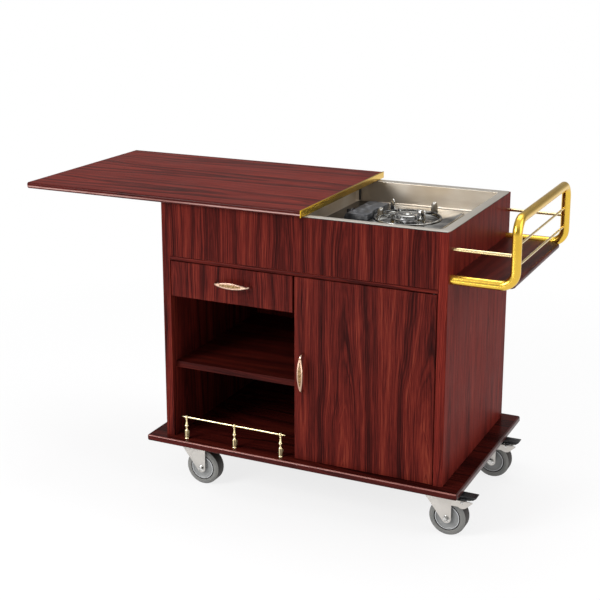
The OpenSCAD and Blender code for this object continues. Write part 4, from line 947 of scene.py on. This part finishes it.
def make_well():
    """Folded steel pan with a flat rim, round inner corners and a hole for the hose."""
    lo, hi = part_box("stainless_well")
    outer, outer_half = (lo + hi) / 2, (hi - lo) / 2
    left_rim, rim, skin, lip, fold, inner_corner, gap_shade_r = [value * MM for value in (20, 27, 1.2, 2.2, 5, 6, 3.2)]
    x0, x1 = lo.x + left_rim, hi.x - rim
    half_x, half_y = (x1 - x0) / 2, hi.y - rim

    def outer_ring(inset, z):
        return soft_rect(outer.x, outer_half.x - inset, outer_half.y - inset, 4 * MM, z)

    def inner_ring(grow, corner, z):
        return soft_rect((x0 + x1) / 2, half_x + grow, half_y + grow, corner, z)

    rings = [inner_ring(0, 7 * MM, WELL_FLOOR - skin), inner_ring(skin, 7 * MM, WELL_FLOOR + 4 * MM),
             inner_ring(skin, 7 * MM, hi.z - skin), outer_ring(0, hi.z - 2 * MM), outer_ring(0, hi.z - 0.3 * MM),
             outer_ring(0.4 * MM, hi.z)]
    rings += [inner_ring(grow, inner_corner + grow, z) for grow, z in arc(lip, hi.z - lip, lip, 90, 180, 4)]
    rings += [inner_ring(-inset, inner_corner - inset / 2, z)
              for inset, z in arc(fold, WELL_FLOOR + fold, fold, 180, 270, 5)]
    piece = lofted("well_pan", rings)
    cut_away(piece, hose_cut(WELL_FLOOR - 20 * MM, WELL_FLOOR + 20 * MM, 10.8 * MM))
    smooth(piece, 40)

    # The rim's outer side gets painted shade of the gap beside the boards.
    def well_finish(middle, normal):
        over = max(abs(middle.x - outer.x) - outer_half.x, abs(middle.y) - outer_half.y)
        if over > -0.3 * MM and abs(normal.z) < 0.3:
            return 3
        # The floor takes the darker steel of painted shade.
        return 1 if middle.z > hi.z - 1.3 * MM else 2 if middle.z < WELL_FLOOR + 1 * MM else 0

    place(piece, "well_steel", [WELL_STEEL_PAINTED_REFLECTIONS, RIM_STEEL, WELL_FLOOR_PAINTED_SHADE, GAP_SHADE], "stainless_well", rule=well_finish)
    # A near-black strip stands in the back left corner as painted shade of a gap between two walls.
    corner = Vector((x0 + gap_shade_r + 0.2 * MM, half_y - gap_shade_r - 0.2 * MM, 0))
    seam = rod("well_corner_seam", corner + (WELL_FLOOR + 3 * MM) * UP, corner + (hi.z - 2.4 * MM) * UP, gap_shade_r)
    soften(seam, 0.6 * MM)
    smooth(seam)
    place(seam, "black_plastic", [GAP_SHADE])


# Burner

def make_stove_plate():
    """Pressed plate: stepped edge, raised ring and a drip bowl."""
    half = (PLATE_HI - PLATE_LO) / 2
    top = PLATE_HI.z - 1.5 * MM
    edge = [(0, 22, 0), (0, 22, 17), (0.6, 22, 19), (2.2, 21, 20.2), (5, 19, 20.4), (6.2, 18, 20.8),
            (7.4, 17, 21.8), (9, 16, 22)]
    bowl = [(93.5, 0), (92.3, 0.5), (91.2, 1.3), (90, 1.5), (88, 1.5), (86.6, 1.0), (86, 0),
            (85.6, -4), (83.5, -6.2), (80, -7), (60, -7), (30, -6.6), (8, -6.6)]
    rings = [soft_rect(BURNER_X, half.x - inset * MM, half.y - inset * MM, corner * MM, WELL_FLOOR + z * MM)
             for inset, corner, z in edge]
    rings += [circle_ring(BURNER_X, radius * MM, top + z * MM) for radius, z in bowl]
    piece = lofted("stove_tray", rings)
    smooth(piece, 30)
    place(piece, "stove_steel", [STOVE_STEEL_PAINTED_REFLECTIONS], "stove_plate")


def arm_outline(tall):
    """Arm of the pan support, from the side: inner tip, bar and a tall round-backed fin."""
    bar = [(40, 0), (41, 9), (45, 14), (49, 12.5), (53, 6.2), (68, 5.6), (72, 7.5), (74, 12), (75, tall - 8)]
    return bar + arc(84, tall - 9.5, 9.5, 165, 60, 8) + [(91.5, tall - 6), (93.6, tall - 13), (94, 8), (93.6, 0)]


RING_T = 3                # thickness of the support's ring under its arms
PORTS, PORT_AT = 24, 32   # gas ports, and their distance from the burner's middle
LOUVRES, LOUVRE_PITCH = 4, 7
HOUSING_BITE = 97         # radius of the housing's curved side


def make_pan_support():
    lo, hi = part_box("pan_support")
    bm = bmesh.new()
    flat_ring = [(87.4, 0), (94, 0), (94, 2.4), (93, 3.2), (88.2, 3.2), (87.4, 2.4)]
    lathe(bm, flat_ring, spot_at((BURNER_X, 0, lo.z)), 96, closed=True)
    for turn in (40, 130, 220, 310):
        prism(bm, arm_outline((hi.z - lo.z) / MM - RING_T), -1.6, 1.6,
              turn=spot_at((BURNER_X, 0, lo.z + RING_T * MM), -turn))
    piece = from_bmesh("pan_ring", bm)
    soften(piece, 0.7 * MM)
    smooth(piece)
    place(piece, "stove_steel", [STOVE_STEEL_PAINTED_REFLECTIONS], "pan_support")


def make_burner():
    """Burner body with gas ports round its top, and its cap."""
    lo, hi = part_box("burner_body")
    rise = (hi.z - lo.z) / MM
    outline = [(0, 0), (20, 0), (20.5, 1), (20, 4), (23, 6), (28, 7), (32.4, 8.2), (33, 9.5), (33, rise), (0, rise)]
    body = lathed("burner_head", outline, spot_at((BURNER_X, 0, lo.z)), 96)
    port = block("port_shape", MM * Vector((-4, -0.75, -2)), MM * Vector((4, 0.75, 1)))
    turns = [math.radians(i * 360 / PORTS) for i in range(PORTS)]
    points = [(BURNER_X + PORT_AT * MM * math.cos(a), PORT_AT * MM * math.sin(a), hi.z) for a in turns]
    cut_away(body, repeated("port_cuts", port, points, ALLOY, [(0, 0, a) for a in turns]))
    lid = [(0, 0), (35.2, 0), (36, 0.8), (36, 2.6), (35.4, 3.6), (33, 5.1), (31, 5.5), (27.5, 5.4), (25, 4.4),
           (22, 4), (10.5, 4), (8.6, 4.6), (7, 6), (5.4, 6.5), (0, 6.5)]
    cap = lathed("burner_lid", lid, spot_at((BURNER_X, 0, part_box("burner_cap")[0].z)), 96)
    for piece, finish, node in ((body, ALLOY, "burner_body"), (cap, STOVE_STEEL_PAINTED_REFLECTIONS, "burner_cap")):
        smooth(piece, 30)
        place(piece, "burner_alloy", [finish], node)


def make_housing():
    """Control housing, curved round the pan support, with a row of louvres in its top."""
    lo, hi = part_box("stove_housing")
    size = (hi - lo) / MM
    left = (PLATE_LO.x - lo.x) / MM - 0.3
    over = (PLATE_HI.z - lo.z) / MM - 1.2
    outline = [(0, 0), (left, 0), (left, over), (size.x, over), (size.x, size.z)]
    outline += arc(11, size.z - 11, 11, 90, 180, 10)
    bm = bmesh.new()
    prism(bm, outline, 0, size.y, lo)
    piece = from_bmesh("control_housing", bm)
    bite = rod("ring_cut", (BURNER_X, 0, lo.z + (over - 1) * MM), (BURNER_X, 0, hi.z + OVERCUT), HOUSING_BITE * MM,
               RING_POINTS)
    slot = block("slot_shape", MM * Vector((-9, -1, -3)), MM * Vector((9, 1, 2)))
    points = [(lo.x + 22 * MM, lo.y + (16 + LOUVRE_PITCH * i) * MM, hi.z) for i in range(LOUVRES)]
    cut_away(piece, bite, repeated("louvre_cuts", slot, points, HOUSING))
    soften(piece, 1.0 * MM, 3)
    smooth(piece)
    place(piece, "housing_grey", [HOUSING], "stove_housing")


def make_knob():
    lo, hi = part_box("gas_knob")
    spot = spot_at((hi.x - 14 * MM, (lo.y + hi.y) / 2, (lo.z + hi.z) / 2), -90, "Y")
    bm = bmesh.new()
    lathe(bm, [(0, -14), (4, -14), (4, 0), (14.4, 0), (15, 0.6), (15, 3), (14, 4), (12.4, 4.3), (12, 5),
               (11.7, 10.2), (10.8, 11), (0, 11)], spot, 64)
    grip = box_mesh(bm, MM * Vector((-12, -3, 0.5)), MM * Vector((12, 3, 17)))
    bmesh.ops.transform(bm, matrix=spot, verts=grip)
    piece = from_bmesh("control_knob", bm)
    soften(piece, 0.8 * MM)
    smooth(piece)
    place(piece, "black_plastic", [BLACK], "gas_knob", body="knob")


# Castors, in millimetres, from the axle unless a comment says otherwise

CORNERS = ("front_left", "front_right", "back_left", "back_right")
CHEEK_IN = 24             # half the room between the fork's cheeks
CHEEK_T = 3               # thickness of the fork's steel
CHEEK_OUT = CHEEK_IN + CHEEK_T
CHEEK_BACK = 60           # how far the fork reaches behind the axle
BOSS_R = 13               # round end of a cheek
CROWN_LOW = 106           # above the floor
CROWN_TOP = CROWN_LOW + CHEEK_T
EAR_AHEAD, EAR_ABOVE = 42, 54      # where the pedal's pin is
RIBS, RIB_PITCH = 5, 6    # grooves across the pedal
BOLT_X, BOLT_Y = 36, 25   # the plate's bolts, from the swivel's axis
PLATE_LOW = 125           # above the floor


def cheek_outline(top):
    """Side of the fork: upright towards the wheel's trail, slanting on the other side, round at the axle."""
    turn = math.degrees(math.atan2(top, -CHEEK_BACK) + math.acos(BOSS_R / math.hypot(CHEEK_BACK, top)))
    return [(3 - CHEEK_BACK, top), (0.6 - CHEEK_BACK, top - 2.4)] + arc(0, 0, BOSS_R, turn, 360, 20) + \
        [(BOSS_R, top - 3), (BOSS_R - 3, top)]


def ear_outline(top):
    """Ear in one plate with its cheek: an arm, a round belly under the pedal's pin and a blunt tip."""
    high = top - EAR_ABOVE
    arm, belly = 14, 18
    root = BOSS_R - EAR_AHEAD - 6
    outline = [(root, high), (root, -arm)] + arc(0, 0, belly, 180 + math.degrees(math.asin(arm / belly)), 320, 16)
    outline += [(27.6, 0.8), (28, 1.6), (28, high - 0.6), (27.4, high)]
    return [(EAR_AHEAD + x, EAR_ABOVE + z) for x, z in outline]


def hex_bolt(bm, spot, radius, height):
    """Hexagon head with a chamfered top."""
    lathe(bm, [(0, 0), (radius, 0), (radius, height * 0.8), (radius * 0.86, height), (0, height)], spot, 6)


def make_fork(corner, brake):
    """Pressed fork with its race and axle bolts. A fork with a brake has ears and a rivet for the pedal."""
    swivel, axle = pivots[corner + "_swivel"], pivots[corner + "_roll"]
    top = CROWN_TOP - axle.z / MM
    bm = bmesh.new()
    for y0, y1 in ((-CHEEK_OUT, -CHEEK_IN), (CHEEK_IN, CHEEK_OUT)):
        prism(bm, cheek_outline(top), y0, y1, axle)
        if brake:
            prism(bm, ear_outline(top), y0 + 0.05, y1 - 0.05, axle)
    box_mesh(bm, axle + MM * Vector((3 - CHEEK_BACK, -CHEEK_IN - 0.5, top - CHEEK_T)),
             axle + MM * Vector((BOSS_R - 3, CHEEK_IN + 0.5, top)))
    piece = from_bmesh("castor_fork_" + corner, bm)
    soften(piece, 0.7 * MM, 3)
    bm = bmesh.new()
    bm.from_mesh(piece.data)
    lathe(bm, [(0, 0), (24.6, 0), (25, 0.5), (25, 2.6), (24, 3.4), (22.5, 5), (19.6, 7.6), (18.6, 8), (0, 8)],
          spot_at((swivel.x, swivel.y, CROWN_LOW * MM)))
    for side in (-1, 1):
        spot = spot_at(axle + side * CHEEK_OUT * MM * AWAY_Y, -90 * side, "X")
        lathe(bm, [(0, 0), (9, 0), (9, 1.2), (8.6, 1.5), (0, 1.5)], spot, 40)
        hex_bolt(bm, spot @ Matrix.Translation(1.4 * MM * UP), 7.4, 4.2)
        lathe(bm, [(0, 5), (3.6, 5), (3.2, 6.3), (0, 6.4)], spot, 32)
        if brake:
            rivet = Matrix.Translation(MM * Vector((EAR_AHEAD, 0, EAR_ABOVE))) @ spot
            lathe(bm, [(0, -28), (2.9, -28), (2.9, 0), (4.5, 0), (4.4, 0.8), (3.6, 1.6), (2.4, 1.9), (0, 2)], rivet, 32)
    bmesh.ops.recalc_face_normals(bm, faces=bm.faces[:])
    pin = rod("axle_pin", axle - CHEEK_IN * MM * AWAY_Y, axle + CHEEK_IN * MM * AWAY_Y, 6 * MM)
    bm.from_mesh(pin.data)
    bpy.data.objects.remove(pin)
    bm.to_mesh(piece.data)
    bm.free()
    smooth(piece)

    def fork_finish(middle, normal):
        at = (middle - axle) / MM
        if abs(at.y) > CHEEK_OUT + 0.05:
            return 1
        # Front edge faces of the cheeks get painted shade.
        return 2 if normal.x > 0.8 and at.x > BOSS_R - 6 and at.z < top - CHEEK_T - 4 else 0

    place(piece, "zinc", [ZINC, BOLT_STEEL_PAINTED_REFLECTIONS, CHEEK_EDGE_SHADE], "fork_" + corner, body="castor_" + corner, rule=fork_finish)


def make_wheel(corner):
    """Hub with a painted highlight ring and painted shade round its rim, and a tyre with a narrower tread that is
    darkened partly as painted shade.
    """
    axle = pivots[corner + "_roll"]
    spot = spot_at(axle, 90, "X")

    def away(middle):
        return (middle - axle).xz.length / MM

    side = [(6.1, 23.6), (11.4, 23.6), (12, 23.0), (12.1, 19.2), (12.9, 18.5), (27.6, 18.5), (28.6, 18.8),
            (29.4, 19.6), (30.2, 20), (31.9, 20), (33.1, 19.9), (33.6, 19.5), (34, 18.8), (34, 16), (35.5, 16)]
    hub = lathed("wheel_hub_" + corner, side + [(r, -h) for r, h in reversed(side)], spot, 96, closed=True)
    smooth(hub, 30)
    # A bevel near the hub's rim gets a painted highlight ring, and the rim's side beyond it painted shade.
    place(hub, "hub_plastic", [HUB_GREY, TREAD_AND_GROOVE_SHADE, HUB_RIM_HIGHLIGHT], "hub_" + corner, body="wheel_" + corner,
          rule=lambda middle, normal: 1 if away(middle) > 33.4 else 2 if away(middle) > 32.0 else 0)
    half = [(35.5, 18.0), (35.9, 19.0), (36.5, 19.7), (37.2, 20), (43.0, 20), (44.0, 19.8), (48.2, 16.8)]
    half += arc(48.98, 14, 2, 80, 0, 4)
    tyre = lathed("wheel_tyre_" + corner, half + [(r, -h) for r, h in reversed(half)], spot, 128, closed=True)
    smooth(tyre, 30)
    # The tyre's side by the hub is painted shade of the groove; its tread is dark rubber darkened partly as painted
    # shade.
    place(tyre, "tyre", [TYRE_GREY, TREAD_AND_GROOVE_SHADE], "tyre_" + corner, body="wheel_" + corner,
          rule=lambda middle, normal: 0 if 36.6 < away(middle) < 50.1 else 1)


def make_pedal(end):
    """Black pedal: a foot plate with grooves and a sloping tip, a hub on its pin, and a shoe above the tread."""
    hinge = pivots[end + "_brake_press"]
    bm = bmesh.new()
    foot_plate = [(-13, 4), (25, 4), (33.4, 10.5), (34, 11.2), (34, 12.4), (33.4, 13), (-12.4, 13), (-13, 12.4)]
    prism(bm, arc(0, 0, 8, 0, 345, 23), -23.6, 23.6, hinge)
    prism(bm, foot_plate, -14, 14, hinge)
    prism(bm, [(0, -4), (16.5, -4), (16.5, 4), (0, 4)], -16, 16, turn=spot_at(hinge, -256, "Y"))
    piece = from_bmesh("castor_pedal_" + end, bm)
    rib = block("rib_shape", MM * Vector((-1.1, -12, -1.0)), MM * Vector((1.1, 12, 1.6)))
    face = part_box("brake_pedal_" + end)[1].z
    points = [(hinge.x + (1 + RIB_PITCH * i) * MM, hinge.y, face) for i in range(RIBS)]
    cut_away(piece, repeated("rib_cuts", rib, points, BLACK),
             rod("pin_cut", hinge - 30 * MM * AWAY_Y, hinge + 30 * MM * AWAY_Y, 3.05 * MM))
    soften(piece, 0.6 * MM)
    smooth(piece)
    place(piece, "black_plastic", [BLACK], "brake_pedal_" + end, body="pedal_" + end)


def make_plate_bolts():
    """Four bolts under each castor's mounting plate."""
    points = [pivots[corner + "_swivel"].xy.to_3d() + MM * Vector((x, y, PLATE_LOW))
              for corner in CORNERS for x in (-BOLT_X, BOLT_X) for y in (-BOLT_Y, BOLT_Y)]
    bm = bmesh.new()
    hex_bolt(bm, spot_at((0, 0, 0), 180, "X"), 7, 5)
    lathe(bm, [(0, 3), (4, 3), (4, -0.5), (0, -0.5)], sides=24)
    piece = repeated("plate_bolts", from_bmesh("bolt_shape", bm), points, ZINC)
    place(piece, "zinc", None, "castor_bolts")


# Nodes whose shape is right keep it and get a finish

KEPT = {
    "top_guide_rails": ZINC, "drawer_runner_rails": ZINC, "door_pivot_bushes": DARK_PIN,
    "door_catch": CATCH_GREY, "gas_inlet": PALE_BRASS, "castor_plates": ZINC, "top_channels": ZINC,
    "door_pivot_pins": DARK_PIN, "door_strike": ZINC, "drawer_box": PLY, "drawer_bottom": PLY,
    "drawer_runner_slides": ZINC,
}


def finish_kept_nodes():
    for node, finish in KEPT.items():
        mesh = frame["nodes"][node].data
        mesh.materials.clear()
        mesh.materials.append(finish)


# Floor, light and camera

FLOOR_REACH = 12.0
FLOOR_FADE = (0.9, 2.2)   # distances from the object's middle between which the floor turns white
FLOOR_GLOW = 0.80         # share of plain white in the floor near the object


def make_floor():
    mesh = bpy.data.meshes.new("floor")
    mesh.from_pydata([(x * FLOOR_REACH, y * FLOOR_REACH, 0) for x, y in ((-1, -1), (1, -1), (1, 1), (-1, 1))], [],
                     [(0, 1, 2, 3)])
    floor = new_object("floor", mesh)
    finish, tree, shader, where = new_finish("pale_floor")
    feed(tree, shader, {"Base Color": (0.90, 0.90, 0.90, 1), "Roughness": 0.7})
    far = add_node(tree, "VectorMath", {0: where}, operation="LENGTH")["Value"]
    rays = add_node(tree, "LightPath")
    seen = maths(tree, "MAXIMUM", rays["Is Glossy Ray"], rays["Is Transmission Ray"])
    seen = maths(tree, "MAXIMUM", rays["Is Camera Ray"], seen)
    share = maths(tree, "MULTIPLY", remap(tree, far, *FLOOR_FADE, FLOOR_GLOW, 1.0), seen)
    white = add_node(tree, "Emission", {"Color": (1, 1, 1, 1), "Strength": 1.0})[0]
    lit = tree.nodes["Principled BSDF"].outputs[0]
    mixed = add_node(tree, "MixShader", {0: share, 1: lit, 2: white})[0]
    feed(tree, tree.nodes["Material Output"].inputs, {"Surface": mixed})
    mesh.materials.append(finish)


def make_world():
    """White behind the object, softer where it lights the object."""
    world = bpy.data.worlds.new("studio")
    bpy.context.scene.world = world
    world.use_nodes = True
    tree = world.node_tree
    rays = add_node(tree, "LightPath")
    height = add_node(tree, "SeparateXYZ", {0: add_node(tree, "TexCoord")["Generated"]})[2]
    up = ramp(tree, remap(tree, height, -0.4, 1.0),
              [(0.0, grey(0.9)), (0.28, (0.62, 0.61, 0.60)), (0.45, (0.28, 0.27, 0.26)),
               (0.62, (0.42, 0.41, 0.40)), (0.85, grey(0.95))])
    soft = mix_colours(tree, rays["Is Diffuse Ray"], up, (0.55, 0.55, 0.56))
    feed(tree, tree.nodes["Background"].inputs,
         {"Color": mix_colours(tree, rays["Is Camera Ray"], soft, grey(1.0)), "Strength": 1.0})


LAMPS = {                 # place, what it faces, size, power
    "key": ((-1.7, -2.8, 2.3), (0, 0, 0.5), (1.4, 1.4), 95),
    "side": ((3.0, -0.2, 1.8), (0.4, 0, 0.6), (2.2, 2.4), 34),
    "overhead": ((0.2, 0.6, 3.0), (0.1, 0, 0.8), (2.2, 1.2), 34),
    "low_front": ((-0.66, -1.55, 0.16), (-0.66, 0, 0.84), (1.9, 0.10), 3.4),
}


def make_lights():
    for name, (spot, target, size, power) in LAMPS.items():
        data = bpy.data.lights.new(name, "AREA")
        data.shape = "RECTANGLE"
        data.size, data.size_y = size
        data.energy = power
        lamp = new_object(name, data)
        lamp.location = spot
        lamp.rotation_euler = (Vector(target) - Vector(spot)).to_track_quat("-Z", "Y").to_euler()


EYE = (1.50435, -3.1683, 1.5781)
EYE_YAW = 25.27
EYE_DOWN = 14.22
LENS = 75.92
SHIFT_DOWN = -0.1


def make_camera():
    data = bpy.data.cameras.new("view")
    data.lens = LENS
    data.sensor_width = 36.0
    data.shift_y = SHIFT_DOWN
    camera = new_object("view", data)
    camera.location = EYE
    camera.rotation_euler = (math.radians(90 - EYE_DOWN), 0, math.radians(EYE_YAW))
    bpy.context.scene.camera = camera


make_camera()
make_carcass()
make_slabs()
make_end_strip()
make_fronts()
make_handle()
make_gallery()
make_pull("door_pull", "door", upright=True)
make_pull("drawer_pull", "drawer", upright=False)
make_well()
make_stove_plate()
make_pan_support()
make_burner()
make_housing()
make_knob()
for castor in CORNERS:
    make_fork(castor, brake=castor.endswith("right"))
    make_wheel(castor)
make_pedal("front")
make_pedal("back")
make_plate_bolts()
finish_kept_nodes()
make_floor()
make_world()
make_lights()
bpy.context.scene.view_settings.view_transform = "Standard"
